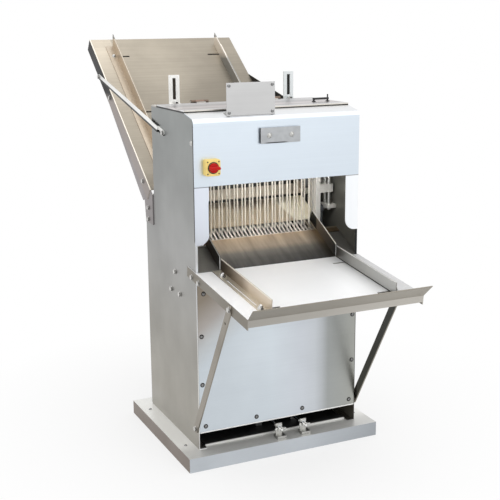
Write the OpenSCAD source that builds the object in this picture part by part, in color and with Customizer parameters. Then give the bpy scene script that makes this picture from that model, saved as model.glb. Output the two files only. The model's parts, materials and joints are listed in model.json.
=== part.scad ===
// Bread slicer: an upright stainless cabinet with a loading chute behind, two blade frames
// that move against each other inside, and a sliced-loaf tray in front.
// Origin at the middle of the plinth's underside, front towards -Y, millimetres.

/* [Plinth] */
// Width of the plinth
plinth_w = 620; // [600:1:700]
// Depth of the plinth
plinth_d = 500; // [480:1:580]
// Height of the plinth
plinth_h = 43; // [35:1:60]
// Thickness of the plinth sheet
plinth_t = 3; // [2:0.5:5]
// Width of each rail under the plinth
rail_w = 40; // [30:1:45]
// Wall of the rails under the plinth
rail_t = 2.5; // [2:0.5:4]

/* [Cabinet] */
// Width over the two side panels
body_w = 520; // [480:1:560]
// Distance of the front face from the middle
body_front = 202; // [190:1:215]
// Distance of the lower rear face from the middle
body_rear = 205; // [195:1:225]
// Distance of the upper rear edge from the middle
neck_rear = 130; // [120:1:145]
// Height of the side panels above the floor
body_top = 1010; // [990:1:1060]
// Height at which the rear edge turns forward
step_z = 700; // [680:1:705]
// Rise of the sloping rear edge
step_rise = 48; // [44:1:52]
// Thickness of the cabinet sheet
sheet = 2; // [1.5:0.1:3]
// Width of the folded sheet edges
fold = 25; // [20:1:32]
// Height of the gap under the front panel
toe_h = 50; // [45:1:70]

/* [Hood] */
// Height of the front panel's top edge
opening_z = 560; // [540:1:565]
// Height of the cheeks' lower edge
cheek_z = 650; // [630:1:680]
// Height of the hood's lower edge
hood_z = 814; // [780:1:840]
// Width of each cheek
cheek_w = 43; // [36:1:50]
// Radius of each cheek's inner lower corner
cheek_r = 32; // [15:1:34]
// Depth of the hood's rolled top
hood_back = 64; // [55:1:75]
// Fall of the hood's top towards the front, degrees
hood_slope = 12; // [6:1:18]
// Radius of the hood's front roll
hood_r = 14; // [10:1:22]
// Width of the clamp plate
clamp_w = 124; // [110:1:150]
// Height of the clamp plate
clamp_h = 44; // [38:1:60]
// Width of the name plate
badge_w = 148; // [120:1:170]
// Height of the name plate
badge_h = 90; // [70:1:100]
// Width of the switch box
switch_w = 44; // [40:1:55]
// Height of the switch box
switch_h = 46; // [42:1:60]
// Depth of the switch box
switch_d = 20; // [16:1:35]
// Diameter of the switch knob
knob_d = 27; // [24:1:34]

/* [Outfeed] */
// Height of the trough's foot above the floor
foot_z = 573; // [568:1:590]
// Slope of the bed and the trough, degrees
slope = 27; // [25:0.5:28]
// Height of the trough and guide walls
wall_h = 36; // [28:1:42]
// Length of the tray from the cabinet to its front fold
tray_l = 348; // [320:1:400]
// Fall of the tray towards the front, degrees
tray_fall = 6.5; // [3:0.5:9]
// Depth of the tray's folded sides
tray_skirt = 29; // [26:1:34]
// Depth of the tray's folded front
front_skirt = 22; // [16:1:30]
// Length of the tray's sides along the cabinet
tray_back = 62; // [50:1:75]
// Width of the tray's flared lip
lip_h = 50; // [30:1:60]
// Lean of the lip from upright, degrees
lip_lean = 40; // [10:1:45]
// Extra half width of the lip at its top
lip_flare = 3; // [0:1:12]
// Width of the tray strut bars
strut_w = 25; // [18:1:28]
// Thickness of the tray strut bars
strut_t = 4; // [3:0.5:6]
// Inward travel of each sliding guide
guide_travel = 50; // [30:1:60]

/* [Blades] */
// Distance between neighbouring blades
blade_pitch = 12.5; // [11:0.5:14]
// Width of each blade
blade_w = 10; // [8:0.5:12]
// Thickness of each blade
blade_t = 0.8; // [0.5:0.1:1.2]
// Distance of the blades in front of the middle
blade_front = 50; // [46:1:54]
// Stroke of the blade frames
stroke = 32; // [24:1:36]
// Depth of the blade frame bars
bar_d = 17; // [15:0.5:18]
// Width of the blade frames' side posts
post_w = 16; // [12:1:18]
// Diameter of the guide rods
guide_d = 12; // [9:0.5:12.5]

/* [Chute] */
// Slope of the chute, degrees
chute_slope = 36.8; // [34:0.1:40]
// Length of the chute
chute_l = 730; // [700:1:780]
// Depth of the chute's folded sides
chute_flange = 43; // [38:1:50]
// Length of the chute's side arms
arm_l = 480; // [440:1:500]
// Thickness of the chute's side arms
arm_t = 3; // [2:0.5:4]
// Width of the stays
stay_w = 18; // [14:1:22]
// Height of the slotted uprights
upright_h = 86; // [80:1:110]
// Width of the slotted uprights
upright_w = 34; // [28:1:40]
// Clear height under the loaf hold-down
hold_clear = 52; // [44:1:60]
// Rise of the loaf hold-down
hold_travel = 50; // [30:1:60]

/* [Drive] */
// Diameter of the main shaft
shaft_d = 25; // [20:1:28]
// Length of the connecting rods
rod_l = 192; // [186:1:200]
// Diameter of the driven pulley
driven_d = 140; // [120:1:150]
// Diameter of the motor pulley
drive_d = 45; // [42:1:60]
// Diameter of the motor
motor_d = 130; // [110:1:140]
// Length of the motor
motor_l = 170; // [150:1:190]
// Diameter of the tension rods
tension_d = 10; // [8:1:12]
// Travel of the motor each way
motor_travel = 8; // [4:1:10]
// Cable size of the gland
cable_d = 10; // [6:1:12]

/* [Fasteners] */
// Diameter of the hexagon bolts
bolt_d = 8; // [6:1:10]
// Diameter of the small screws
screw_d = 5; // [4:0.5:6]

/* [Hidden] */
$fn = 48;

// Clearances
run_gap = 0.3;
fit_gap = 0.05;
hole_gap = 0.25;
bolt_r = bolt_d / 2;
bolt_hole_r = bolt_r + hole_gap;
bolt_head_r = bolt_d * 0.94;
bolt_head_h = bolt_d * 0.65;
bolt_len = 22;
screw_r = screw_d / 2;
screw_hole_r = screw_r + hole_gap;
screw_head_r = screw_d * 0.9;
screw_head_h = 3;
screw_len = 10;

// Cabinet faces
half = body_w / 2;
inner = half - sheet;
front_y = -body_front;
skin_y = front_y + sheet;
back_y = body_rear - sheet;
toe_z = plinth_h + toe_h;
panel_edge = 3;
flange_edge = 7;
inside_w = half - fold - 1;

// Rear apron that covers the sloping rear edge
apron_l = 46;
step_run = [neck_rear - back_y, step_rise];
step_dir = step_run / norm(step_run);
step_out = [step_dir.y, -step_dir.x];
apron_foot = [back_y, step_z];
apron_turn = (sheet - step_out.x * sheet) / step_dir.x;

// Hood roll
roll_y = front_y + hood_r;
hood_end = [front_y + hood_back, body_top + sheet];
roll_z = hood_end.y + (sin(hood_slope) * (roll_y - hood_end.x) - hood_r) / cos(hood_slope);
hood_end_in = hood_end + sheet * [sin(hood_slope), -cos(hood_slope)];
roll_steps = 8;
function hood_top(y) = hood_end.y - (hood_end.x - y) * tan(hood_slope);
function roll_arc(r) = [for (i = [0 : roll_steps])
    let (a = 90 + hood_slope + (90 - hood_slope) * i / roll_steps)
    [roll_y + r * cos(a), roll_z + r * sin(a)]];
function flip(list) = [for (i = [len(list) - 1 : -1 : 0]) list[i]];

// Points along the trough, the tray and the chute: distance along, height above
function along(start, angle, s, n) =
    [start.x + s * cos(angle) - n * sin(angle), start.y + s * sin(angle) + n * cos(angle)];
slope_start = [front_y, foot_z];
function bed_z(y) = foot_z + (y - front_y) * tan(slope);
function bed_s(y) = (y - front_y) / cos(slope);
tray_start = [front_y - 0.5, foot_z];
function tray_point(l, n) = along(tray_start, tray_fall, -l, n);
chute_start = [neck_rear + 22, bed_z(neck_rear + 22) + 1];
function chute_point(s, n) = along(chute_start, chute_slope, s, n);

// Blade row, counted from the room beside it
side_room = 83;
blade_half = floor((inner - side_room) / blade_pitch + 0.001);
row_half = blade_half * blade_pitch;
blade_y = -blade_front;
wall_x = row_half + 10;
blade_lap = blade_w * 0.2;
bar_gap = blade_lap + 2;
front_bar = [blade_y - bar_gap - bar_d, blade_y - bar_gap];
rear_bar = [blade_y + bar_gap, blade_y + bar_gap + bar_d];
comb_slot = 6.5;
comb_l = 47;
tip_y = blade_y + blade_w - blade_lap + 2;
bed_y = tip_y + 4;

// Blade frames
post_x = wall_x + sheet + 3;
post_end = post_x + post_w;
low_bar_h = 16;
top_bar_h = 25;
frame_z0 = bed_z(front_bar[0]) - sheet / cos(slope) - stroke / 2 - 3 - low_bar_h;
frame_z1 = body_top - 85;
guide_r = guide_d / 2;
guide_x = inner - 18;
block_end = guide_x + guide_r + 4;
front_rod_y = (front_bar[0] + front_bar[1]) / 2;
rear_rod_y = (rear_bar[0] + rear_bar[1]) / 2;

// Main shaft, eccentrics and connecting rods
throw = stroke / 2;
shaft_r = shaft_d / 2;
driven_r = driven_d / 2;
drive_r = drive_d / 2;
shaft_y = -38;
shaft_z = frame_z0 - throw - driven_r - 16;
ecc_r = throw + shaft_r + 3;
strap_r = ecc_r + 10;
rod_t = 7;
rod_w = 16;
eye_r = 12;
pin_r = 6;
pin_end = 1.5;
front_rod_x = post_end + 3;
rear_rod_x = front_rod_x + rod_t + 2;
wrist_z = shaft_z + rod_l;
block_h = 25;
guide_low_z = wrist_z + eye_r + stroke + 6;
bracket_h = 12;
bracket_low_z = guide_low_z - throw - 34;
bracket_top_z = frame_z1 + throw + 24;
bracket_y = [front_bar[0] - 4, rear_bar[1] + 4];
rod_over = 6;

// Flange bearings
bearing_t = 4;
bearing_l = 18;
bearing_r = shaft_r + 14;
bearing_pcd_r = 40;
bearing_flange_r = bearing_pcd_r + bolt_r + 8;

// Motor, belt and tension rods
motor_x = 31;
motor_y = 20;
motor_r = motor_d / 2;
rail_h = 15;
plate_t = 6;
plate_z = plinth_h + rail_h + run_gap;
plate_top = plate_z + plate_t;
motor_z = plate_top + motor_r + 12;
motor_x0 = motor_x - motor_l / 2;
motor_x1 = motor_x + motor_l / 2;
motor_shaft_r = 9.5;
belt_x = motor_x0 - 46;
belt_half = 5;
belt_t = 8;
groove_d = 9.5;
pulley_w = 24;
tension_r = tension_d / 2;
tension_x = [motor_x - 40.5, motor_x + 40.5];
tension_z = plinth_h + 29;
plate_y = [-95, 95 + motor_y];
plate_x = [motor_x - 76, motor_x + 76];
upstand_h = 24;
bracket_t = 4;
bracket_face = front_y - 14;
nut_l = 10;
belt_run = [motor_y - shaft_y, motor_z - shaft_z];
belt_span = norm(belt_run);
belt_dir = atan2(belt_run.y, belt_run.x);
belt_top_r = driven_r - groove_d + 2;
belt_low_r = drive_r - groove_d + 2;
belt_lean = asin((belt_top_r - belt_low_r) / belt_span);
belt_steps = 24;
// Loop round both pulleys, the given height above the belt's inner radii
function belt_loop(h) = concat(
    [for (i = [0 : belt_steps]) let (a = 90 - belt_lean + (180 + 2 * belt_lean) * i / belt_steps)
        (belt_top_r + h) * [cos(a), sin(a)]],
    [for (i = [0 : belt_steps]) let (a = 270 + belt_lean + (180 - 2 * belt_lean) * i / belt_steps)
        [belt_span + (belt_low_r + h) * cos(a), (belt_low_r + h) * sin(a)]]);

// Lid, rear beam, uprights and hold-down
beam_d = 43;
lid_y = [hood_end.x + 1, neck_rear - beam_d - 2];
lid_rim = 8;
lid_z = body_top + run_gap;
lid_top = lid_z + lid_rim;
beam_t = 4;
beam_y = [neck_rear - beam_d, neck_rear];
beam_top = body_top + beam_t;
hinge_y = lid_y[1] + 6;
hinge_z = lid_top + 3;
hinge_r = 5;
hinge_pin_r = 2.5;
knuckle_l = 28;
upright_x = wall_x + 6;
upright_t = 3;
hinge_x = upright_x - upright_w / 2 - knuckle_l - fold;
upright_y = neck_rear - 15;
upright_slot = 10;
upright_foot = 25;
hanger_w = 24;
hanger_t = 3;
hanger_y = upright_y + upright_t + run_gap;
hold_front = bed_s(rear_bar[1] + 17) + hold_clear * tan(slope);
hold_back = bed_s(hanger_y + hanger_t) + hold_clear * tan(slope);

// Name plate and switch
badge_x = -badge_w / 2 - 6;
badge_y = front_y + 16;
badge_t = 2;
badge_z = hood_top(badge_y) + 0.5;
badge_foot = 25;
badge_screw = 8;
switch_x = -half + 49;
switch_z = hood_z + 31 + switch_h / 2;
spindle_r = 4;
clamp_z = hood_z + 131;
clamp_out = 5;
clamp_t = 3;
clamp_bolt_x = 35;

// Tray and chute details
guide_base = 28;
guide_t = 2;
stud_x = wall_x + guide_t + 15;
stud_r = 3;
slot_r = stud_r + 0.5;
tray_studs = [52, tray_l - 52];
tray_guide_l = tray_l - 22;
chute_studs = [350, 636];
chute_guide = [20, 690];
chute_half = half + arm_t + sheet;
strut_foot = [front_y + strut_w / 2, plinth_h + 63];
strut_l = 240;
strut_top = tray_point(strut_l, -tray_skirt / 2);
stay_foot = [29, body_top - 69];
stay_s = arm_l + 92;
stay_top = chute_point(stay_s, -chute_flange * 0.76);
stay_t = 3;
arm_bolts = [[neck_rear + 44, step_z - 4], [neck_rear + 46, step_z - 40]];
gland_x = -150;
gland_z = plinth_h + 90;
gland_l = 36;
vent_x = half * 0.23;
vent_w = half * 0.54;

// Where bolts sit on each side: y, z and the distance of the head's seat from the middle
bearing_bolts = [for (a = [90, 210, 330])
    [shaft_y + bearing_pcd_r * cos(a), shaft_z + bearing_pcd_r * sin(a), half]];
tray_bolt_n = -tray_skirt + bolt_d + 1;
tray_bolt_in = tray_point(-fold, tray_bolt_n);
tray_bolt_out = tray_point(fold, tray_bolt_n);
panel_bolts = concat(bearing_bolts, [
    [tray_bolt_in.x, tray_bolt_in.y, half + sheet],
    [strut_foot.x, strut_foot.y, half + sheet + strut_t],
    [stay_foot.x, stay_foot.y, half + stay_t],
    [arm_bolts[0].x, arm_bolts[0].y, half + arm_t],
    [arm_bolts[1].x, arm_bolts[1].y, half + arm_t]]);
flange_bolts = [for (s = [60, arm_l - 30])
    let (p = chute_point(s, -chute_flange / 2)) [p.x, p.y, chute_half]];
outer_bolts = concat(flange_bolts, [
    [tray_bolt_out.x, tray_bolt_out.y, half + sheet],
    [strut_top.x, strut_top.y, half + sheet + strut_t],
    [stay_top.x, stay_top.y, chute_half + stay_t]]);
hood_bolt = [front_y + 15, hood_z + 120];

// Where small screws sit
front_screws = concat(
    [for (x = [-half + 21, -half / 3.4, half / 3.4, half - 21]) [x, toe_z + 20]],
    [for (x = [-half + 21, half - 21]) [x, opening_z - 49]],
    [for (x = [-1, 1], z = [toe_z + 148, toe_z + 293]) [x * (half - 13), z]]);
rear_screws = [for (x = [-1, 1], z = [plinth_h + 60, plinth_h + 330, step_z - 40])
    [x * (half - 13), z]];
rail_x = plinth_w / 2 - plinth_t - 2 - rail_w / 2;
plinth_screws = [for (x = [-1, 1], y = [-1, 1]) [x * rail_x, y * plinth_d * 0.31]];
badge_screws = [for (x = [-1, 1], z = [badge_screw, badge_h - badge_screw])
    [badge_x + x * (badge_w / 2 - badge_screw), badge_z + z]];

// Shapes that repeat

// A block between two corners
module block(x0, x1, y0, y1, z0, z1) {
    translate([x0, y0, z0]) cube([x1 - x0, y1 - y0, z1 - z0]);
}

// Outline in Y and Z, thickened along X
module yz(x0, t) {
    translate([x0, 0, 0]) rotate([90, 0, 90]) linear_extrude(t) children();
}

// Outline in X and Z, thickened along Y
module xz(y0, t) {
    translate([0, y0 + t, 0]) rotate([90, 0, 0]) linear_extrude(t) children();
}

module rod_x(x0, x1, y, z, r) {
    translate([x0, y, z]) rotate([0, 90, 0]) cylinder(h = x1 - x0, r = r);
}

module rod_y(x, y0, y1, z, r) {
    translate([x, y0, z]) rotate([-90, 0, 0]) cylinder(h = y1 - y0, r = r);
}

module rod_z(x, y, z0, z1, r) {
    translate([x, y, z0]) cylinder(h = z1 - z0, r = r);
}

// The children and their mirror image on the other side
module both_sides() {
    children();
    mirror([1, 0, 0]) children();
}

module on_slope() {
    translate([0, slope_start.x, slope_start.y]) rotate([slope, 0, 0]) children();
}

module on_tray() {
    translate([0, tray_start.x, tray_start.y]) rotate([tray_fall, 0, 0]) children();
}

module on_chute() {
    translate([0, chute_start.x, chute_start.y]) rotate([chute_slope, 0, 0]) children();
}

// Hexagon bolt with its head's seat at the origin, pointing up
module hex_bolt(length) {
    cylinder(h = bolt_head_h, r = bolt_head_r, $fn = 6);
    translate([0, 0, -length]) cylinder(h = length + bolt_head_h / 2, r = bolt_r);
}

// Small screw with its head's seat at the origin, pointing up
module pan_screw() {
    cylinder(h = screw_head_h, r = screw_head_r);
    translate([0, 0, -screw_len]) cylinder(h = screw_len + screw_head_h / 2, r = screw_r);
}

// Dome-headed bolt with its head's seat at the origin, pointing up
module dome_bolt(length) {
    rise = bolt_d * 0.6;
    ball = (bolt_d * bolt_d + rise * rise) / (2 * rise);
    intersection() {
        translate([0, 0, rise - ball]) sphere(r = ball);
        cylinder(h = rise + 1, r = bolt_d);
    }
    translate([0, 0, -length]) cylinder(h = length + rise / 2, r = bolt_r);
}

// Bar with round ends between two points of an outline
module link(a, b, w) {
    d = b - a;
    translate(a) rotate(atan2(d.y, d.x)) translate([0, -w / 2]) square([norm(d), w]);
    translate(a) circle(d = w);
    translate(b) circle(d = w);
}

// Plinth and cabinet

module plinth() {
    w = plinth_w / 2;
    d = plinth_d / 2;
    color("gainsboro") difference() {
        block(-w, w, -d, d, 0, plinth_h);
        block(-w + plinth_t, w - plinth_t, -d + plinth_t, d - plinth_t, -1, plinth_h - plinth_t);
        for (p = plinth_screws)
            rod_z(p.x, p.y, plinth_h - plinth_t - 1, plinth_h + 1, screw_hole_r);
    }
}

module plinth_rails() {
    d = plinth_d / 2 - plinth_t - 1;
    top = plinth_h - plinth_t;
    color("dimgray") difference() {
        for (x = [-rail_x, 0, rail_x])
            block(x - rail_w / 2, x + rail_w / 2, -d, d, 0, top);
        for (x = [-rail_x, 0, rail_x])
            block(x - rail_w / 2 + rail_t, x + rail_w / 2 - rail_t, -d - 1, d + 1, rail_t, top - rail_t);
        for (p = plinth_screws)
            rod_z(p.x, p.y, top - rail_t - 1, top + 1, screw_hole_r);
    }
}

// Flat strip on the plinth behind the toe gap, and the rail behind the front panel's lower edge
module cross_rails() {
    strip_y = front_y + 18;
    color("lightgray") {
        block(-inside_w, inside_w, strip_y, strip_y + fold, plinth_h, plinth_h + plinth_t * 1.6);
        difference() {
            union() {
                block(-inside_w, inside_w, skin_y, skin_y + plinth_t, toe_z + 5, toe_z + 40);
                block(-inside_w, inside_w, skin_y, skin_y + fold, toe_z + 40 - plinth_t, toe_z + 40);
            }
            for (p = front_screws)
                rod_y(p.x, skin_y - 1, skin_y + plinth_t + 1, p.y, screw_hole_r);
        }
    }
}

// Right side panel with its folded edges and bolt holes
module side_sheet() {
    outline = concat(
        [[skin_y, plinth_h], [back_y, plinth_h], apron_foot],
        [[neck_rear, step_z + step_rise], [neck_rear, body_top], hood_end_in],
        roll_arc(hood_r - sheet));
    difference() {
        union() {
            yz(inner, sheet) polygon(outline);
            block(half - fold, half, skin_y, skin_y + sheet, toe_z, opening_z);
            block(half - flange_edge, half, skin_y, skin_y + sheet, opening_z, cheek_z);
            block(half - fold, half, skin_y, skin_y + sheet, cheek_z, roll_z);
            block(half - fold, half, skin_y, back_y, plinth_h, plinth_h + sheet);
            block(half - fold, half, back_y - sheet, back_y, plinth_h, step_z);
        }
        for (b = panel_bolts)
            rod_x(inner - 1, half + 1, b[0], b[1], bolt_hole_r);
        rod_x(inner - 1, half + 1, hood_bolt.x, hood_bolt.y, bolt_hole_r);
        for (p = front_screws)
            rod_y(abs(p.x), skin_y - 1, skin_y + sheet + 1, p.y, screw_hole_r);
        for (p = rear_screws)
            rod_y(abs(p.x), back_y - sheet - 1, back_y + 1, p.y, screw_hole_r);
    }
}

module side_panel_left() {
    color("darkgray") mirror([1, 0, 0]) side_sheet();
}

module side_panel_right() {
    color("darkgray") side_sheet();
}

module front_panel() {
    w = half - panel_edge;
    color("aliceblue") difference() {
        block(-w, w, front_y, skin_y, toe_z, opening_z);
        for (p = front_screws)
            rod_y(p.x, front_y - 1, skin_y + 1, p.y, screw_hole_r);
    }
}

// Rear cover, folded forward at its top along the sloping rear edge
module rear_panel() {
    low = plinth_h + panel_edge;
    turn = apron_foot + step_out * sheet + step_dir * apron_turn;
    end = apron_foot + step_dir * apron_l;
    color("lightgray") difference() {
        yz(-half, body_w) polygon([[back_y, low], [body_rear, low], turn,
            end + step_out * sheet, end, apron_foot]);
        for (p = rear_screws)
            rod_y(p.x, back_y - 1, body_rear + 1, p.y, screw_hole_r);
        rod_y(gland_x, back_y - 1, body_rear + 1, gland_z, cable_d / 2 + 5);
        for (i = [0 : 5])
            block(vent_x - vent_w / 2, vent_x + vent_w / 2, back_y - 1, body_rear + 1,
                gland_z + 14 * i, gland_z + 14 * i + 5);
    }
}

module panel_screws() {
    color("silver") {
        for (p = front_screws)
            translate([p.x, front_y, p.y]) rotate([90, 0, 0]) pan_screw();
        for (p = rear_screws)
            translate([p.x, body_rear, p.y]) rotate([-90, 0, 0]) pan_screw();
        for (p = plinth_screws)
            translate([p.x, p.y, plinth_h]) pan_screw();
        for (p = badge_screws)
            translate([p.x, badge_y, p.y]) rotate([90, 0, 0]) pan_screw();
    }
}

// Hood

module hood() {
    lip = 15;
    profile = concat([[front_y, hood_z]], flip(roll_arc(hood_r)), [hood_end, hood_end_in],
        roll_arc(hood_r - sheet), [[skin_y, hood_z]]);
    color("aliceblue") difference() {
        union() {
            yz(-half, body_w) polygon(profile);
            block(-inside_w, inside_w, front_y, front_y + lip, hood_z, hood_z + sheet);
        }
        for (x = [-clamp_bolt_x, clamp_bolt_x])
            rod_y(x, front_y - 1, skin_y + 1, clamp_z, bolt_hole_r);
        rod_y(switch_x, front_y - 1, skin_y + 1, switch_z, spindle_r + 2);
    }
}

module hood_cheeks() {
    x0 = half - cheek_w;
    corner = [for (i = [0 : 8]) let (a = 180 + 90 * i / 8)
        [x0 + cheek_r + cheek_r * cos(a), cheek_z + cheek_r + cheek_r * sin(a)]];
    color("aliceblue") both_sides() xz(front_y, sheet)
        polygon(concat([[half, cheek_z], [half, hood_z], [x0, hood_z]], corner));
}

// Plate on two bosses that holds the upper blade-frame guides through the hood
module clamp_plate() {
    y1 = front_y - clamp_out;
    color("lightsteelblue") difference() {
        union() {
            block(-clamp_w / 2, clamp_w / 2, y1 - clamp_t, y1, clamp_z - clamp_h / 2, clamp_z + clamp_h / 2);
            for (x = [-clamp_bolt_x, clamp_bolt_x])
                rod_y(x, y1 - clamp_t / 2, front_y, clamp_z, bolt_d);
        }
        for (x = [-clamp_bolt_x, clamp_bolt_x])
            rod_y(x, y1 - clamp_t - 1, front_y + 1, clamp_z, bolt_hole_r);
    }
}

module dome_bolts() {
    color("silver") {
        for (x = [-clamp_bolt_x, clamp_bolt_x])
            translate([x, front_y - clamp_out - clamp_t, clamp_z]) rotate([90, 0, 0]) dome_bolt(bolt_len);
        both_sides()
            translate([half, hood_bolt.x, hood_bolt.y]) rotate([0, 90, 0]) dome_bolt(bolt_len / 2);
    }
}

module name_plate() {
    color("gainsboro") difference() {
        block(badge_x - badge_w / 2, badge_x + badge_w / 2, badge_y, badge_y + badge_t,
            badge_z, badge_z + badge_h);
        for (p = badge_screws)
            rod_y(p.x, badge_y - 1, badge_y + badge_t + 1, p.y, screw_hole_r);
    }
}

// Upright leg behind the name plate with a foot along the hood's sloping top
module name_plate_bracket() {
    y0 = badge_y + badge_t;
    y1 = y0 + sheet;
    y2 = y0 + badge_foot;
    rise = sheet / cos(hood_slope);
    top = badge_z + badge_h - 2;
    color("silver") difference() {
        yz(badge_x - badge_w / 2 + 2, badge_w - 4) polygon([[y0, hood_top(y0)], [y2, hood_top(y2)],
            [y2, hood_top(y2) + rise], [y1, hood_top(y1) + rise], [y1, top], [y0, top]]);
        for (p = badge_screws)
            rod_y(p.x, y0 - 1, y1 + 1, p.y, screw_hole_r);
    }
}

module switch_box() {
    edge = 4;
    w = switch_w / 2;
    h = switch_h / 2;
    y0 = front_y - switch_d;
    color("gold") difference() {
        xz(y0, switch_d) translate([switch_x, switch_z]) polygon([
            [-w + edge, -h], [w - edge, -h], [w, -h + edge], [w, h - edge],
            [w - edge, h], [-w + edge, h], [-w, h - edge], [-w, -h + edge]]);
        rod_y(switch_x, y0 - 1, front_y + 1, switch_z, spindle_r);
    }
}

module switch_knob() {
    y1 = front_y - switch_d - run_gap;
    base_h = 7;
    grip_h = 12;
    grip_w = 9;
    color("crimson") {
        rod_y(switch_x, y1 - base_h, y1, switch_z, knob_d / 2);
        block(switch_x - knob_d / 2 - 2, switch_x + knob_d / 2 + 2, y1 - base_h - grip_h,
            y1 - base_h / 2, switch_z - grip_w / 2, switch_z + grip_w / 2);
        rod_y(switch_x, y1 - base_h / 2, front_y + 2, switch_z, spindle_r - fit_gap);
    }
}

// Lid and what stands on the top

module lid() {
    color("whitesmoke") difference() {
        union() {
            block(-half, half, lid_y[0], lid_y[1], lid_top - sheet, lid_top);
            for (x = [-half, inner])
                block(x, x + sheet, lid_y[0], lid_y[1], lid_z, lid_top);
            for (y = [lid_y[0], lid_y[1] - sheet])
                block(-half, half, y, y + sheet, lid_z, lid_top);
            for (x = [-hinge_x, hinge_x]) {
                rod_x(x - knuckle_l / 2, x + knuckle_l / 2, hinge_y, hinge_z, hinge_r);
                block(x - knuckle_l / 2, x + knuckle_l / 2, lid_y[1] - 10, hinge_y,
                    lid_top - sheet, hinge_z);
            }
        }
        for (x = [-hinge_x, hinge_x])
            rod_x(x - knuckle_l, x + knuckle_l, hinge_y, hinge_z, hinge_pin_r + fit_gap);
    }
}

// Bow handle on the lid with an upright tip at its outer end
module lid_handle() {
    grip_r = 3;
    x0 = half * 0.71;
    x1 = half * 0.89;
    y = lid_y[0] + (lid_y[1] - lid_y[0]) / 3;
    rise = 9;
    color("black") {
        for (x = [x0, x1])
            rod_z(x, y, lid_top, lid_top + rise, grip_r);
        rod_x(x0 - grip_r, x1 + grip_r, y, lid_top + rise, grip_r);
        rod_z(x1, y, lid_top + rise, lid_top + rise + 12, grip_r - 1);
        for (x = [x0, x1])
            rod_z(x, y, lid_top, lid_top + 2, grip_r * 2);
    }
}

module lid_hinge_pins() {
    color("gray") for (x = [-hinge_x, hinge_x])
        rod_x(x - knuckle_l, x + knuckle_l, hinge_y, hinge_z, hinge_pin_r);
}

// Cross beam behind the lid, with the fixed hinge knuckles and windows for the hangers
module rear_beam() {
    drop = 22;
    fixed_l = knuckle_l / 2 - run_gap;
    color("gainsboro") difference() {
        union() {
            block(-half, half, beam_y[0], beam_y[1], body_top, beam_top);
            for (y = [beam_y[0], beam_y[1] - sheet])
                block(-inner + 1, inner - 1, y, y + sheet, body_top - drop, beam_top);
            for (x = [-hinge_x, hinge_x], s = [-1, 1]) {
                x0 = x + s * (knuckle_l / 2 + run_gap + fixed_l / 2) - fixed_l / 2;
                rod_x(x0, x0 + fixed_l, hinge_y, hinge_z, hinge_r);
                block(x0, x0 + fixed_l, hinge_y - hinge_r + 1, hinge_y + hinge_r, body_top, hinge_z);
            }
        }
        for (x = [-hinge_x, hinge_x])
            rod_x(x - knuckle_l - 1, x + knuckle_l + 1, hinge_y, hinge_z, hinge_pin_r + fit_gap);
        for (x = [-upright_x, upright_x]) {
            block(x - hanger_w / 2 - 1, x + hanger_w / 2 + 1, hanger_y - run_gap, hanger_y + hanger_t + 1,
                body_top - 1, beam_top + 1);
            rod_z(x, upright_y - upright_foot / 2, body_top - 1, beam_top + 1, bolt_hole_r);
        }
    }
}

module slotted_uprights() {
    w = upright_w / 2;
    top = beam_top + upright_h;
    color("gainsboro") both_sides() difference() {
        union() {
            block(upright_x - w, upright_x + w, upright_y, upright_y + upright_t, beam_top, top);
            block(upright_x - w, upright_x + w, upright_y - upright_foot, upright_y + upright_t,
                beam_top, beam_top + upright_t);
        }
        block(upright_x - upright_slot / 2, upright_x + upright_slot / 2, upright_y - 1,
            upright_y + upright_t + 1, beam_top + 14, top - 9);
        rod_z(upright_x, upright_y - upright_foot / 2, beam_top - 1, beam_top + upright_t + 1, bolt_hole_r);
    }
}

// Plate that keeps the loaf down on the bed, hung behind the slotted uprights
module hold_down() {
    w = wall_x - 3;
    foot = along(slope_start, slope, hold_back - 8, hold_clear);
    color("dimgray") {
        on_slope() {
            block(-w, w, hold_front, hold_back, hold_clear, hold_clear + sheet);
            for (x = [-w, w - sheet])
                block(x, x + sheet, hold_front + 10, hold_back, hold_clear, hold_clear + 20);
        }
        for (x = [-upright_x, upright_x])
            block(x - hanger_w / 2, x + hanger_w / 2, hanger_y, hanger_y + hanger_t,
                foot.y + 12, beam_top + upright_h - 5);
        block(-upright_x - hanger_w / 2, upright_x + hanger_w / 2, hanger_y, hanger_y + hanger_t,
            foot.y, foot.y + 40);
    }
}

// Bolts on the cabinet's sides, the chute, the tray and the uprights' feet
module frame_bolts() {
    color("silver") {
        both_sides() for (b = concat(panel_bolts, outer_bolts))
            translate([b[2], b[0], b[1]]) rotate([0, 90, 0]) hex_bolt(b[2] - inner + 8);
        for (x = [-upright_x, upright_x])
            translate([x, upright_y - upright_foot / 2, beam_top + upright_t]) hex_bolt(bolt_len);
    }
}

// Chute

module chute_plate() {
    w = chute_half;
    color("tan") difference() {
        on_chute() difference() {
            union() {
                block(-w, w, 0, chute_l, -sheet, 0);
                for (x = [-w, w - sheet])
                    block(x, x + sheet, 0, chute_l, -chute_flange, 0);
                block(-w, w, chute_l - sheet, chute_l, -chute_flange / 2, 0);
            }
            for (s = chute_studs, m = [-1, 1])
                translate([m * (stud_x - guide_travel / 2), s, 0])
                    block(-guide_travel / 2 - 5, guide_travel / 2 + 5, -slot_r, slot_r, -sheet - 1, 1);
        }
        for (b = outer_bolts, m = [-1, 1])
            rod_x(m * chute_half - sheet - 1, m * chute_half + sheet + 1, b[0], b[1], bolt_hole_r);
    }
}

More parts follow.
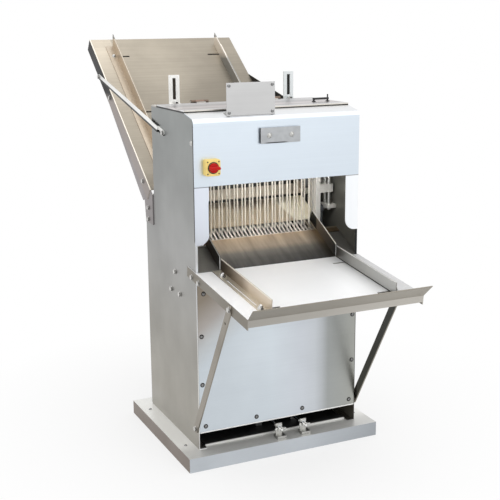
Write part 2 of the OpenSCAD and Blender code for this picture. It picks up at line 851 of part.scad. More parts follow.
// Tapered side arms from the cabinet to the middle of the chute
module chute_arms() {
    low = 76;
    high = 45;
    tab = [neck_rear + 6, body_rear - 6, step_z - 52];
    color("lightgray") both_sides() difference() {
        yz(half, arm_t) {
            polygon([chute_point(4, -sheet), chute_point(arm_l, -sheet), chute_point(arm_l, -high),
                chute_point(60, -low), chute_point(30, -low)]);
            polygon([[tab[0], tab[2]], [tab[1], tab[2]], [tab[1] + 10, step_z + 20],
                chute_point(40, -20), chute_point(4, -sheet), [tab[0], step_z + step_rise - 8]]);
        }
        for (b = concat(panel_bolts, flange_bolts))
            rod_x(half - 1, half + arm_t + 1, b[0], b[1], bolt_hole_r);
    }
}

// Flat bars from the chute to the cabinet, joggled in at the lower end
module chute_stays() {
    run = stay_top - stay_foot;
    reach = norm(run);
    w = stay_w / 2;
    step_at = 36;
    x1 = chute_half;
    color("lightgray") both_sides() difference() {
        translate([0, stay_foot.x, stay_foot.y]) rotate([atan2(run.y, run.x), 0, 0]) {
            block(x1, x1 + stay_t, step_at, reach, -w, w);
            rod_x(x1, x1 + stay_t, reach, 0, w);
            block(half, x1 + stay_t, step_at, step_at + stay_t, -w, w);
            block(half, half + stay_t, 0, step_at + stay_t, -w, w);
            rod_x(half, half + stay_t, 0, 0, w);
        }
        rod_x(half - 1, half + stay_t + 1, stay_foot.x, stay_foot.y, bolt_hole_r);
        rod_x(x1 - 1, x1 + stay_t + 1, stay_top.x, stay_top.y, bolt_hole_r);
    }
}

// Right sliding guide of the chute, an angle with a pointed upper end
module chute_angle() {
    s0 = chute_guide[0];
    s1 = chute_guide[1];
    point = 22;
    on_chute() difference() {
        union() {
            yz(wall_x + 5, guide_t) polygon([[s0, run_gap], [s1, run_gap], [s1 + point, wall_h + run_gap],
                [s0, wall_h + run_gap]]);
            block(wall_x + 5, wall_x + 5 + guide_base, s0, s1, run_gap, run_gap + guide_t);
        }
        for (s = chute_studs)
            translate([stud_x, s, 0]) cylinder(h = 10, r = stud_r + fit_gap);
    }
}

module chute_guide_left() {
    color("tan") mirror([1, 0, 0]) chute_angle();
}

module chute_guide_right() {
    color("tan") chute_angle();
}

// Stud with a round nut above the sheet and a washer below it
module clamp_stud(head_r, head_h) {
    seat = run_gap + guide_t;
    washer_r = stud_r + 6;
    translate([0, 0, -sheet - run_gap - 6]) cylinder(h = seat + head_h + sheet + run_gap + 6, r = stud_r);
    translate([0, 0, seat]) cylinder(h = head_h, r = head_r);
    translate([0, 0, -sheet - run_gap - 4]) cylinder(h = 4, r = washer_r);
}

module chute_knob_pair() {
    on_chute() for (s = chute_studs)
        translate([stud_x, s, 0]) clamp_stud(7, 7);
}

module chute_knobs_left() {
    color("silver") mirror([1, 0, 0]) chute_knob_pair();
}

module chute_knobs_right() {
    color("silver") chute_knob_pair();
}

// Bed, trough and tray

// Bed that carries the loaf from the chute to the blades
module feed_bed() {
    s0 = bed_s(bed_y);
    s1 = bed_s(chute_start.x - 5);
    color("tan") on_slope() {
        block(-wall_x + 1, wall_x - 1, s0, s1, -sheet, 0);
        both_sides() {
            block(wall_x - 1, wall_x + 1, s0, s1, -sheet, wall_h);
            block(wall_x - 1, inner, s1 - 80, s1 - 50, -sheet, 0);
        }
    }
}

// Trough in front of the blades; its upper end is a comb that reaches between them
module outfeed_trough() {
    s1 = bed_s(tip_y);
    color("lightgray") on_slope() difference() {
        union() {
            block(-wall_x - sheet, wall_x + sheet, 0, s1, -sheet, 0);
            both_sides() {
                yz(wall_x, sheet) polygon([[0, -sheet], [s1, -sheet], [s1, wall_h],
                    [wall_h * tan(slope), wall_h], [0, 0]]);
                block(wall_x, inner, s1 * 0.7 - 12, s1 * 0.7 + 12, -sheet, 0);
            }
        }
        for (i = [-blade_half : blade_half])
            block(i * blade_pitch - comb_slot / 2, i * blade_pitch + comb_slot / 2,
                s1 - comb_l, s1 + 1, -sheet - 1, 1);
    }
}

module tray() {
    w = half + sheet;
    color("whitesmoke") difference() {
        on_tray() difference() {
            union() {
                block(-w, w, -tray_l, 0, -sheet, 0);
                for (x = [-w, half])
                    block(x, x + sheet, -tray_l, tray_back, -tray_skirt, 0);
                block(-w, w, -tray_l, -tray_l + sheet, -front_skirt, 0);
                translate([0, -tray_l + sheet, -sheet]) rotate([90 + lip_lean, 0, 0]) linear_extrude(sheet)
                    polygon([[-w, 0], [w, 0], [w + lip_flare, lip_h], [-w - lip_flare, lip_h]]);
            }
            for (l = tray_studs, m = [-1, 1])
                translate([m * (stud_x - guide_travel / 2), -l, 0])
                    block(-guide_travel / 2 - 5, guide_travel / 2 + 5, -slot_r, slot_r, -sheet - 1, 1);
        }
        for (b = concat(panel_bolts, outer_bolts), m = [-1, 1])
            rod_x(m * half - sheet - 1, m * half + sheet + 1, b[0], b[1], bolt_hole_r);
    }
}

// Flat bars that hold the tray up, with a spare hole below the upper bolt
module tray_struts() {
    run = strut_top - strut_foot;
    spare = strut_top - run / norm(run) * 50;
    x0 = half + sheet;
    color("silver") both_sides() difference() {
        union() {
            yz(x0, strut_t) link(strut_foot, strut_top, strut_w);
            rod_x(half, x0, strut_foot.x, strut_foot.y, strut_w / 2);
        }
        for (p = [strut_foot, strut_top, spare])
            rod_x(half - 1, x0 + strut_t + 1, p.x, p.y, bolt_hole_r);
    }
}

// Right sliding guide of the tray
module tray_angle() {
    x0 = wall_x;
    on_tray() difference() {
        union() {
            block(x0, x0 + guide_t, -tray_guide_l, -2, run_gap, run_gap + wall_h);
            block(x0, x0 + guide_base, -tray_guide_l, -2, run_gap, run_gap + guide_t);
        }
        for (l = tray_studs)
            translate([stud_x, -l, 0]) cylinder(h = 10, r = stud_r + fit_gap);
        block(stud_x - 3, stud_x + 3, 25 - tray_studs[1], -25 - tray_studs[0], 0, run_gap + guide_t + 1);
    }
}

module tray_guide_left() {
    color("tan") mirror([1, 0, 0]) tray_angle();
}

module tray_guide_right() {
    color("tan") tray_angle();
}

module tray_knob_pair() {
    on_tray() for (l = tray_studs)
        translate([stud_x, -l, 0]) clamp_stud(8, 12);
}

module tray_knobs_left() {
    color("dimgray") mirror([1, 0, 0]) tray_knob_pair();
}

module tray_knobs_right() {
    color("dimgray") tray_knob_pair();
}

// Blade frames

// Frame with its posts, guide blocks and wrist pins between two depths; slots from slot_y
module blade_frame(bar, rod_y_at, slot, first) {
    difference() {
        union() {
            block(-post_end, post_end, bar[0], bar[1], frame_z0, frame_z0 + low_bar_h);
            block(-post_end, post_end, bar[0], bar[1], frame_z1 - top_bar_h, frame_z1);
            both_sides() {
                block(post_x, post_end, bar[0], bar[1], frame_z0, frame_z1);
                block(post_end - 1, block_end, bar[0], bar[1], guide_low_z, guide_low_z + block_h);
                block(post_end - 1, block_end, bar[0], bar[1], frame_z1 - block_h, frame_z1);
                rod_x(post_end - 1, post_end + pin_end, rod_y_at, wrist_z, pin_r);
            }
        }
        both_sides() rod_z(guide_x, rod_y_at, frame_z0, frame_z1 + 1, guide_r + fit_gap);
        for (i = [-blade_half + first : 2 : blade_half])
            block(i * blade_pitch - blade_t / 2 - fit_gap, i * blade_pitch + blade_t / 2 + fit_gap,
                slot[0], slot[1], frame_z0 - 1, frame_z1 + 1);
    }
}

module blade_set(y0, first) {
    for (i = [-blade_half + first : 2 : blade_half])
        block(i * blade_pitch - blade_t / 2, i * blade_pitch + blade_t / 2, y0, y0 + blade_w,
            frame_z0 + 2, frame_z1 - 2);
}

module front_frame() {
    y0 = blade_y - blade_w + blade_lap;
    color("lightgray") blade_frame(front_bar, front_rod_y, [y0, front_bar[1] + 1], 0);
}

module front_blades() {
    color("white") blade_set(blade_y - blade_w + blade_lap, 0);
}

module rear_frame() {
    y1 = blade_y + blade_w - blade_lap;
    color("darkgray") blade_frame(rear_bar, rear_rod_y, [rear_bar[0] - 1, y1], 1);
}

module rear_blades() {
    color("white") blade_set(blade_y - blade_lap, 1);
}

module guide_rods() {
    color("silver") both_sides() for (y = [front_rod_y, rear_rod_y])
        rod_z(guide_x, y, bracket_low_z - rod_over, bracket_top_z + bracket_h + rod_over, guide_r);
}

module guide_brackets() {
    color("gray") both_sides() difference() {
        for (z = [bracket_low_z, bracket_top_z])
            block(guide_x - guide_r - 5, inner, bracket_y[0], bracket_y[1], z, z + bracket_h);
        for (y = [front_rod_y, rear_rod_y])
            rod_z(guide_x, y, bracket_low_z - 1, bracket_top_z + bracket_h + 1, guide_r + fit_gap);
    }
}

// Drive

module main_shaft() {
    color("gray") {
        rod_x(-inner + 2, inner - 2, shaft_y, shaft_z, shaft_r);
        both_sides() {
            rod_x(front_rod_x, front_rod_x + rod_t, shaft_y - throw, shaft_z, ecc_r);
            rod_x(rear_rod_x, rear_rod_x + rod_t, shaft_y + throw, shaft_z, ecc_r);
        }
    }
}

module flange_bearings() {
    color("gray") both_sides() difference() {
        union() {
            rod_x(inner - bearing_t, inner, shaft_y, shaft_z, bearing_flange_r);
            rod_x(inner - bearing_l, inner, shaft_y, shaft_z, bearing_r);
        }
        rod_x(inner - bearing_l - 1, inner + 1, shaft_y, shaft_z, shaft_r + fit_gap);
        for (b = bearing_bolts)
            rod_x(inner - bearing_l - 1, inner + 1, b[0], b[1], bolt_hole_r);
    }
}

// Pair of rods from the eccentrics at big to the wrist pins at small
module conrods(x0, big, small) {
    both_sides() yz(x0, rod_t) difference() {
        union() {
            translate(big) circle(r = strap_r);
            translate(small) circle(r = eye_r);
            link(big, small, rod_w);
        }
        translate(big) circle(r = ecc_r + fit_gap);
        translate(small) circle(r = pin_r + fit_gap);
    }
}

module front_conrods() {
    color("slategray") conrods(front_rod_x, [shaft_y - throw, shaft_z], [front_rod_y, wrist_z]);
}

module rear_conrods() {
    color("slategray") conrods(rear_rod_x, [shaft_y + throw, shaft_z], [rear_rod_y, wrist_z]);
}

// Grooved pulley along X, centred on the belt
module grooved_pulley(r, bore_r) {
    h = pulley_w / 2;
    low = belt_half - 0.2;
    high = belt_half + 3;
    rotate([0, 90, 0]) rotate_extrude() polygon([[bore_r, -h], [r, -h], [r, -high],
        [r - groove_d, -low], [r - groove_d, low], [r, high], [r, h], [bore_r, h]]);
}

module driven_pulley() {
    color("dimgray") translate([belt_x, shaft_y, shaft_z]) grooved_pulley(driven_r, shaft_r + fit_gap);
}

module motor_pulley() {
    color("dimgray") translate([belt_x, motor_y, motor_z]) grooved_pulley(drive_r, motor_shaft_r + fit_gap);
}

// Belt round both pulleys
module drive_belt() {
    color("black") translate([belt_x - belt_half, shaft_y, shaft_z]) rotate([belt_dir, 0, 0])
        rotate([90, 0, 90]) linear_extrude(2 * belt_half) difference() {
            polygon(belt_loop(belt_t));
            polygon(belt_loop(0));
        }
}

module motor() {
    box = 70;
    foot = motor_r * 0.9;
    color("steelblue") difference() {
        union() {
            rod_x(motor_x0 + 15, motor_x1 - 40, motor_y, motor_z, motor_r);
            rod_x(motor_x0, motor_x0 + 15, motor_y, motor_z, motor_r - 8);
            rod_x(motor_x1 - 40, motor_x1, motor_y, motor_z, motor_r - 4);
            for (x = [motor_x0 + 30, motor_x1 - 75])
                block(x, x + 25, motor_y - foot, motor_y + foot, plate_top, motor_z - motor_r * 0.6);
            block(motor_x - box / 2, motor_x + box / 2, motor_y - box / 2, motor_y + box / 2,
                motor_z, motor_z + motor_r + 25);
        }
        rod_x(motor_x0 - 1, motor_x1 - 45, motor_y, motor_z, motor_shaft_r + fit_gap);
    }
}

module motor_shaft() {
    color("silver") rod_x(belt_x - pulley_w / 2, motor_x1 - 45.5, motor_y, motor_z, motor_shaft_r);
}

// Sliding plate under the motor, with an upstand that holds the tension rods
module motor_plate() {
    color("gray") difference() {
        union() {
            block(plate_x[0], plate_x[1], plate_y[0], plate_y[1], plate_z, plate_top);
            block(plate_x[0], plate_x[1], plate_y[0], plate_y[0] + plate_t, plate_z, plate_top + upstand_h);
        }
        for (x = tension_x)
            rod_y(x, plate_y[0] - 1, plate_y[0] + plate_t + 1, tension_z, tension_r + fit_gap);
    }
}

module slide_rails() {
    bar = 20;
    over = motor_travel + 15;
    color("dimgray") for (x = [plate_x[0] + 6, plate_x[1] - 6 - bar])
        block(x, x + bar, plate_y[0] - over, plate_y[1] + over, plinth_h, plinth_h + rail_h);
}

module tension_rods() {
    color("silver") for (x = tension_x) {
        rod_y(x, bracket_face - 22, plate_y[0] + plate_t + 12, tension_z, tension_r);
        rod_y(x, plate_y[0] + plate_t, plate_y[0] + plate_t + 7, tension_z, tension_d * 0.74);
    }
}

module tension_brackets() {
    w = 15;
    neck = 10.5;
    foot_h = 9;
    color("lightgray") for (x = tension_x) difference() {
        union() {
            block(x - neck, x + neck, bracket_face, bracket_face + bracket_t, plinth_h, tension_z + 13);
            block(x - w, x + w, bracket_face - 22, bracket_face + bracket_t, plinth_h, plinth_h + foot_h);
        }
        rod_y(x, bracket_face - 1, bracket_face + bracket_t + 1, tension_z, tension_r + run_gap);
    }
}

// Wing nut against the front of its bracket
module wing_nut(x) {
    hub = tension_d * 0.85;
    span = tension_d * 1.9;
    y1 = bracket_face - run_gap;
    difference() {
        union() {
            rod_y(x, y1 - nut_l, y1, tension_z, hub);
            block(x - span, x + span, y1 - nut_l - 4, y1 - 3, tension_z - 2, tension_z + 2);
        }
        rod_y(x, y1 - nut_l - 5, y1 + 1, tension_z, tension_r + fit_gap);
    }
}

module wing_nut_left() {
    color("silver") wing_nut(tension_x[0]);
}

module wing_nut_right() {
    color("silver") wing_nut(tension_x[1]);
}

// Cable gland through the rear panel, with its clear bore
module cable_gland() {
    r = cable_d / 2;
    thread_r = r + 5 - hole_gap;
    color("black") difference() {
        union() {
            rod_y(gland_x, body_rear - 14, body_rear + gland_l - 14, gland_z, thread_r);
            translate([gland_x, body_rear, gland_z]) rotate([-90, 0, 0]) cylinder(h = 8, r = r + 9, $fn = 6);
            translate([gland_x, back_y - 6, gland_z]) rotate([-90, 0, 0]) cylinder(h = 6, r = r + 9, $fn = 6);
        }
        rod_y(gland_x, body_rear - 15, body_rear + gland_l, gland_z, r);
    }
}

plinth();
plinth_rails();
cross_rails();
side_panel_left();
side_panel_right();
front_panel();
rear_panel();
panel_screws();
hood();
hood_cheeks();
clamp_plate();
dome_bolts();
lid();
lid_handle();
lid_hinge_pins();
rear_beam();
name_plate();
name_plate_bracket();
slotted_uprights();
frame_bolts();
hold_down();
chute_plate();
chute_arms();
chute_stays();
chute_guide_left();
chute_guide_right();
chute_knobs_left();
chute_knobs_right();
feed_bed();
outfeed_trough();
front_frame();
front_blades();
rear_frame();
rear_blades();
guide_rods();
guide_brackets();
main_shaft();
flange_bearings();
front_conrods();
rear_conrods();
driven_pulley();
motor_pulley();
drive_belt();
motor();
motor_shaft();
motor_plate();
slide_rails();
tension_rods();
tension_brackets();
wing_nut_left();
wing_nut_right();
tray();
tray_struts();
tray_guide_left();
tray_guide_right();
tray_knobs_left();
tray_knobs_right();
switch_box();
switch_knob();
cable_gland();
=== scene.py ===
import json
from math import asin, atan2, cos, pi, radians, sin

import bpy
from mathutils import Matrix, Vector


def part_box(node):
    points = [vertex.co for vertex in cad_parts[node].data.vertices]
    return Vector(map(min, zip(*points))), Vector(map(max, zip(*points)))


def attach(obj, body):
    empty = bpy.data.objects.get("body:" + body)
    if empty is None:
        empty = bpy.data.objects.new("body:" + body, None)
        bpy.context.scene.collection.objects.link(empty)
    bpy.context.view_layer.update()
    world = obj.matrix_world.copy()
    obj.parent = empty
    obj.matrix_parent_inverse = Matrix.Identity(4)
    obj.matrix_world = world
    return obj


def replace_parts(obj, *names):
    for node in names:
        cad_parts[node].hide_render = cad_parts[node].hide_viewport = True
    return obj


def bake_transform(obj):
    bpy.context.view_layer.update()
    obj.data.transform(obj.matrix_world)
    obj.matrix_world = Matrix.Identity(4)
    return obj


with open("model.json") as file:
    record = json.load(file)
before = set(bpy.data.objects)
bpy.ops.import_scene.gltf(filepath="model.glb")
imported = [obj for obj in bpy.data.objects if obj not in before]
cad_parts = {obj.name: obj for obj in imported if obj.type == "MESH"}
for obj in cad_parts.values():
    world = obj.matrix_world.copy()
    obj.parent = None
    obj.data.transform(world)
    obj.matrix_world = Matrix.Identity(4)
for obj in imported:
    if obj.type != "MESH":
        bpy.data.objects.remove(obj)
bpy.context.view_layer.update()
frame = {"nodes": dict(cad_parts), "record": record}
nodes = frame["nodes"]
print("frame loaded:", len(nodes), "nodes")

left, right, up, down = (-1, 0, 0), (1, 0, 0), (0, 0, 1), (0, 0, -1)
front, back = (0, -1, 0), (0, 1, 0)


def boxOf(points):
    low = Vector(min(p[i] for p in points) for i in range(3))
    high = Vector(max(p[i] for p in points) for i in range(3))
    return low, high, (low + high) / 2


def nodeBox(node):
    return boxOf(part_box(node))


# camera, solved from the cabinet's straight edges in the photo
photoCamera = {
    "place": (-1.26092, -2.70758, 1.27320),  # m
    "azimuth": -24.975,  # deg, the camera stands to the front left
    "pitch": 13.25,
    "roll": -0.43,
    "lens": 71.99,
    "sensor": 36.0,
    "reach": 50.0,
}


def addCamera(spec):
    a, e, r = (radians(spec[key]) for key in ("azimuth", "pitch", "roll"))
    forward = Vector((-sin(a) * cos(e), cos(a) * cos(e), -sin(e)))
    level = Vector((cos(a), sin(a), 0.0))
    sideways = level * cos(r) + level.cross(forward) * sin(r)
    lens = bpy.data.cameras.new("photoCamera")
    lens.lens = spec["lens"]
    lens.sensor_width = spec["sensor"]
    lens.sensor_fit = "HORIZONTAL"
    lens.clip_end = spec["reach"]
    cam = bpy.data.objects.new("photoCamera", lens)
    axes = Matrix((sideways, sideways.cross(forward), -forward)).transposed()
    cam.matrix_world = Matrix.Translation(Vector(spec["place"])) @ axes.to_4x4()
    bpy.context.collection.objects.link(cam)
    bpy.context.scene.camera = cam


addCamera(photoCamera)
print("camera placed")


# shader helpers
def wire(tree, source, target):
    tree.links.new(source, target)


def newNode(tree, kind, operation=None):
    node = tree.nodes.new("ShaderNode" + kind)
    if operation:
        node.operation = operation
    return node


def calculated(tree, operation, *sources):
    node = newNode(tree, "Math", operation)
    for source, socket in zip(sources, node.inputs):
        wire(tree, source, socket)
    return node.outputs[0]


def rgba(colour):
    # one number stands for a grey
    return (*colour, 1.0) if isinstance(colour, tuple) else (colour, colour, colour, 1.0)


def tint(colour, by):
    return tuple(min(1.0, c * by) for c in colour)


def noise(tree, scale, detail, rough):
    stretch = newNode(tree, "Mapping")
    stretch.inputs["Scale"].default_value = scale
    wire(tree, newNode(tree, "TexCoord").outputs["Object"], stretch.inputs["Vector"])
    tex = newNode(tree, "TexNoise")
    for name, value in (("Scale", 1.0), ("Detail", detail), ("Roughness", rough)):
        tex.inputs[name].default_value = value
    wire(tree, stretch.outputs["Vector"], tex.inputs["Vector"])
    return tex.outputs["Fac"]


def ramp(tree, value, stops):
    node = newNode(tree, "ValToRGB")
    marks = node.color_ramp.elements
    while len(marks) < len(stops):
        marks.new(0.5)
    for mark, (at, colour) in zip(marks, stops):
        mark.position = at
        mark.color = rgba(colour)
    wire(tree, value, node.inputs["Fac"])
    return node.outputs["Color"]


def colourMix(tree, mode):
    node = newNode(tree, "Mix")
    node.data_type = "RGBA"
    node.blend_type = mode
    ins = [s for s in node.inputs if s.type == "RGBA"]
    out = [s for s in node.outputs if s.type == "RGBA"][0]
    return node.inputs["Factor"], ins, out


def multiplied(tree, first, second):
    factor, ins, out = colourMix(tree, "MULTIPLY")
    factor.default_value = 1.0
    wire(tree, first, ins[0])
    wire(tree, second, ins[1])
    return out


def toned(tree, share, first, second):
    # second is a colour, a grey, or another node's output
    factor, ins, out = colourMix(tree, "MIX")
    wire(tree, share, factor)
    wire(tree, first, ins[0])
    if isinstance(second, (tuple, float)):
        ins[1].default_value = rgba(second)
    else:
        wire(tree, second, ins[1])
    return out


def ranged(tree, value, low, high, toLow, toHigh):
    node = newNode(tree, "MapRange")
    for name, limit in (("From Min", low), ("From Max", high), ("To Min", toLow), ("To Max", toHigh)):
        node.inputs[name].default_value = limit
    wire(tree, value, node.inputs["Value"])
    return node.outputs["Result"]


def projected(tree, output, direction):
    dot = newNode(tree, "VectorMath", "DOT_PRODUCT")
    wire(tree, newNode(tree, "TexCoord").outputs[output], dot.inputs[0])
    dot.inputs[1].default_value = Vector(direction)
    return dot.outputs["Value"]


def along(tree, direction):
    # how far a point of the piece lies along a direction, in metres
    return projected(tree, "Object", direction)


turned = {"from": 0.80, "to": 0.93}  # cosines between which a face comes to count as turned to a direction


def facing(tree, direction):
    # share of the surface that is turned towards a direction of the piece itself
    cosine = projected(tree, "Normal", Vector(direction).normalized())
    return ranged(tree, cosine, turned["from"], turned["to"], 0.0, 1.0)


def inward(tree):
    # share of the surface that is turned to the machine's middle plane
    side = calculated(tree, "SIGN", along(tree, right))
    outward = calculated(tree, "MULTIPLY", projected(tree, "Normal", right), side)
    return ranged(tree, outward, -turned["from"], -turned["to"], 0.0, 1.0)


def raised(tree, height, shader, strength, distance):
    bump = newNode(tree, "Bump")
    bump.inputs["Strength"].default_value = strength
    bump.inputs["Distance"].default_value = distance
    wire(tree, height, bump.inputs["Height"])
    wire(tree, bump.outputs["Normal"], shader.inputs["Normal"])


def banded(tree, bands, shade):
    # bands of tone across the piece: a direction, where they start and end, and the stops
    for way, low, high, stops in bands:
        tone = ramp(tree, ranged(tree, along(tree, way), low, high, 0.0, 1.0), stops)
        shade = multiplied(tree, shade, tone)
    return shade


def within(tree, limits):
    # 1 between two limits along each direction, 0 beyond, with a soft step
    share = None
    for way, low, high, soft in limits:
        place = along(tree, way)
        for edge, begin, end in ((low, 0.0, 1.0), (high, 1.0, 0.0)):
            step = ranged(tree, place, edge - soft, edge + soft, begin, end)
            share = step if share is None else calculated(tree, "MULTIPLY", share, step)
    return share


def seenBackground(tree):
    # 1 for what is seen directly, in a mirror or through glass, 0 for the light that falls on surfaces
    path = newNode(tree, "LightPath")
    either = calculated(tree, "MAXIMUM", path.outputs["Is Camera Ray"], path.outputs["Is Glossy Ray"])
    return calculated(tree, "MAXIMUM", either, path.outputs["Is Transmission Ray"])


# light: a white surround, wide soft lamps in front, above and to the left, and a small one in the mouth
surround = {"seen": 1.0, "light": 0.80}
lamps = [
    {"name": "frontLamp", "at": (1.2, -3.6, 2.8), "aim": (0.0, 0.0, 0.6), "size": 4.5, "power": 42.0},
    {"name": "leftLamp", "at": (-3.8, -0.6, 2.6), "aim": (0.0, 0.0, 0.6), "size": 3.5, "power": 14.0},
    {"name": "openingLamp", "at": (0.0, -0.176, 0.804), "aim": (0.0, 0.06, 0.70), "size": 0.40, "tall": 0.03,
     "power": 0.57},
    {"name": "topLamp", "at": (0.2, -0.4, 4.6), "aim": (0.0, -0.1, 0.6), "size": 4.0, "power": 34.0},
]


def lightStudio():
    world = bpy.data.worlds.new("studio")
    bpy.context.scene.world = world
    world.use_nodes = True
    tree = world.node_tree
    glow = tree.nodes["Background"]
    glow.inputs["Color"].default_value = rgba(1.0)
    level = ranged(tree, seenBackground(tree), 0.0, 1.0, surround["light"], surround["seen"])
    wire(tree, level, glow.inputs["Strength"])
    for spec in lamps:
        lamp = bpy.data.lights.new(spec["name"], "AREA")
        lamp.shape = "ELLIPSE"
        lamp.size = spec["size"]
        lamp.size_y = spec.get("tall", spec["size"])
        lamp.energy = spec["power"]
        obj = bpy.data.objects.new(spec["name"], lamp)
        obj.location = spec["at"]
        aim = Vector(spec["aim"]) - Vector(spec["at"])
        obj.rotation_euler = aim.to_track_quat("-Z", "Y").to_euler()
        obj.visible_camera = False
        bpy.context.collection.objects.link(obj)


lightStudio()
bpy.context.scene.view_settings.view_transform = "Standard"

studioFloor = {"half": 9.0, "colour": (0.93, 0.93, 0.93), "shade": 0.30, "near": 0.35, "far": 1.1}


def addFloor(spec):
    mesh = bpy.data.meshes.new("studioFloor")
    h = spec["half"]
    mesh.from_pydata([(-h, -h, 0), (h, -h, 0), (h, h, 0), (-h, h, 0)], [], [(0, 1, 2, 3)])
    floor = bpy.data.objects.new("studioFloor", mesh)
    bpy.context.collection.objects.link(floor)
    mat = bpy.data.materials.new("paleFloor")
    mat.use_nodes = True
    tree = mat.node_tree
    tree.nodes.clear()
    matte = newNode(tree, "BsdfDiffuse")
    matte.inputs["Color"].default_value = rgba(spec["colour"])
    reach = newNode(tree, "VectorMath", "LENGTH")
    wire(tree, newNode(tree, "TexCoord").outputs["Object"], reach.inputs[0])
    clean = ranged(tree, reach.outputs["Value"], spec["near"], spec["far"], 1.0 - spec["shade"], 1.0)
    blend = newNode(tree, "MixShader")
    wire(tree, calculated(tree, "MULTIPLY", seenBackground(tree), clean), blend.inputs["Fac"])
    wire(tree, matte.outputs[0], blend.inputs[1])
    wire(tree, newNode(tree, "Emission").outputs[0], blend.inputs[2])
    wire(tree, blend.outputs[0], newNode(tree, "OutputMaterial").inputs["Surface"])
    mesh.materials.append(mat)


addFloor(studioFloor)
print("studio ready")


def newFinish(name):
    mat = bpy.data.materials.new(name)
    mat.use_nodes = True
    return mat, mat.node_tree, mat.node_tree.nodes["Principled BSDF"]


def coarseNoise(tree, scale):
    return noise(tree, scale, 3.0, 0.5)


def varied(tree, value, base, dark, light):
    # a colour that runs from a darker to a lighter tint; each is a place on the ramp and a factor
    return ramp(tree, value, [(at, tint(base, by)) for at, by in (dark, light)])


def brushedSheet(name, colour, streak, grain=0.03, smudge=0.05, smudgeScale=(6.0, 6.0, 6.0), rough=0.34,
                 metal=1.0, bands=(), turns=(), over=(), inner=None, patch=None, dull=None):
    # streaks of the rolled sheet and hand smudges; the tones by the face's direction and along the piece,
    # the inward tone and the patch carry painted light, shade, highlight and reflection
    mat, tree, shader = newFinish(name)
    lines, smears = noise(tree, streak, 5.0, 0.6), coarseNoise(tree, smudgeScale)
    marks = ramp(tree, lines, [(0.30, 1.0 - 2 * grain), (0.70, 1.0)])
    shade = ramp(tree, smears, [(0.35, 1.0 - smudge), (0.68, 1.0)])
    paint = varied(tree, lines, colour, (0.0, 1.0), (1.0, 1.02))
    # painted light and shade: faces turned one way take a lighter or darker tone
    for way, tone in turns:
        paint = toned(tree, facing(tree, way), paint, tone)
    paint = multiplied(tree, paint, multiplied(tree, marks, banded(tree, bands, shade)))
    for way, tone, ownBands in over:  # in place of the tones so far: painted light and shade on the faces turned one way
        if ownBands:
            tone = banded(tree, ownBands, varied(tree, smears, tone, (0.3, 0.985), (0.7, 1.0)))
        paint = toned(tree, facing(tree, way), paint, tone)
    # painted shade on the faces turned to the machine's middle
    if inner:
        paint = toned(tree, inward(tree), paint, inner)
    # a patch of painted shadow; on the chute and the trough a painted highlight
    if patch:
        paint = toned(tree, within(tree, patch[0]), paint, patch[1])
    wire(tree, paint, shader.inputs["Base Color"])
    shader.inputs["Metallic"].default_value = metal
    if dull:  # faces turned this way are less like a mirror
        mirror = ranged(tree, facing(tree, dull[0]), 0.0, 1.0, metal, dull[1])
        wire(tree, mirror, shader.inputs["Metallic"])
    wire(tree, ranged(tree, smears, 0.3, 0.7, rough + 0.07, rough - 0.05), shader.inputs["Roughness"])
    raised(tree, lines, shader, 0.03, 0.0003)
    return mat


def castMetal(name, colour, grainScale, rough, metal=0.8, bump=0.12):
    mat, tree, shader = newFinish(name)
    grain = noise(tree, (grainScale,) * 3, 6.0, 0.6)
    wire(tree, varied(tree, grain, colour, (0.32, 0.78), (0.68, 1.16)), shader.inputs["Base Color"])
    shader.inputs["Metallic"].default_value = metal
    wire(tree, ranged(tree, grain, 0.2, 0.8, rough - 0.08, rough + 0.1), shader.inputs["Roughness"])
    raised(tree, grain, shader, bump, 0.0006)
    return mat


def mouldedPlastic(name, colour, rough, gloss=0.5):
    mat, tree, shader = newFinish(name)
    grain, patch = coarseNoise(tree, (900.0, 900.0, 900.0)), coarseNoise(tree, (40.0, 40.0, 40.0))
    wire(tree, varied(tree, patch, colour, (0.3, 0.88), (0.7, 1.06)), shader.inputs["Base Color"])
    shader.inputs["Specular IOR Level"].default_value = gloss
    wire(tree, ranged(tree, patch, 0.2, 0.8, rough - 0.06, rough + 0.1), shader.inputs["Roughness"])
    raised(tree, grain, shader, 0.08, 0.0002)
    return mat


innerShade = (0.14, 0.13, 0.105)  # painted shade, brown-tinted, on the side panels' faces turned into the cabinet
across = (2.0, 240.0, 240.0)  # brushing along X
upAndDown = (240.0, 240.0, 3.0)
lengthways = (160.0, 3.0, 3.0)  # brushing along the guides
armStreak = (160.0, 6.0, 6.0)
fineGrain = (300.0, 300.0, 300.0)
hemGrain = (90.0, 90.0, 90.0)

guideTip = (up, 1.185, 1.205, [(0.0, 1.0), (0.40, 1.0), (0.60, 0.05)])  # dark upper points

# the stays carry painted shade along their lower rim and are pale above it
stay = {"half": 0.009, "dark": 0.34, "step": 0.05}
stayLow, stayHigh = nodeBox("chute_stays")[:2]
stayFoot = Vector((0, stayLow.y + stay["half"], stayLow.z + stay["half"]))
stayTop = Vector((0, stayHigh.y - stay["half"], stayHigh.z - stay["half"]))
stayAcross = Vector(right).cross((stayTop - stayFoot).normalized())
stayLine = stayFoot.dot(stayAcross)
stayShadeBand = (stayAcross, stayLine - stay["half"], stayLine + stay["half"],
            [(0.0, 0.03), (stay["dark"], 0.03), (stay["dark"] + stay["step"], 1.0)])

# painted reflection in bands of tone up the side panels
sideReflectionBand = (up, 0.04, 1.0, [
    (0.0, 1.0), (0.10, (0.86, 0.85, 0.81)), (0.30, (0.78, 0.78, 0.765)), (0.60, (0.82, 0.855, 0.91)),
    (0.95, (0.67, 0.73, 0.78))])

trayUp = (0, -0.1132, 0.9936)  # square to the tray's floor
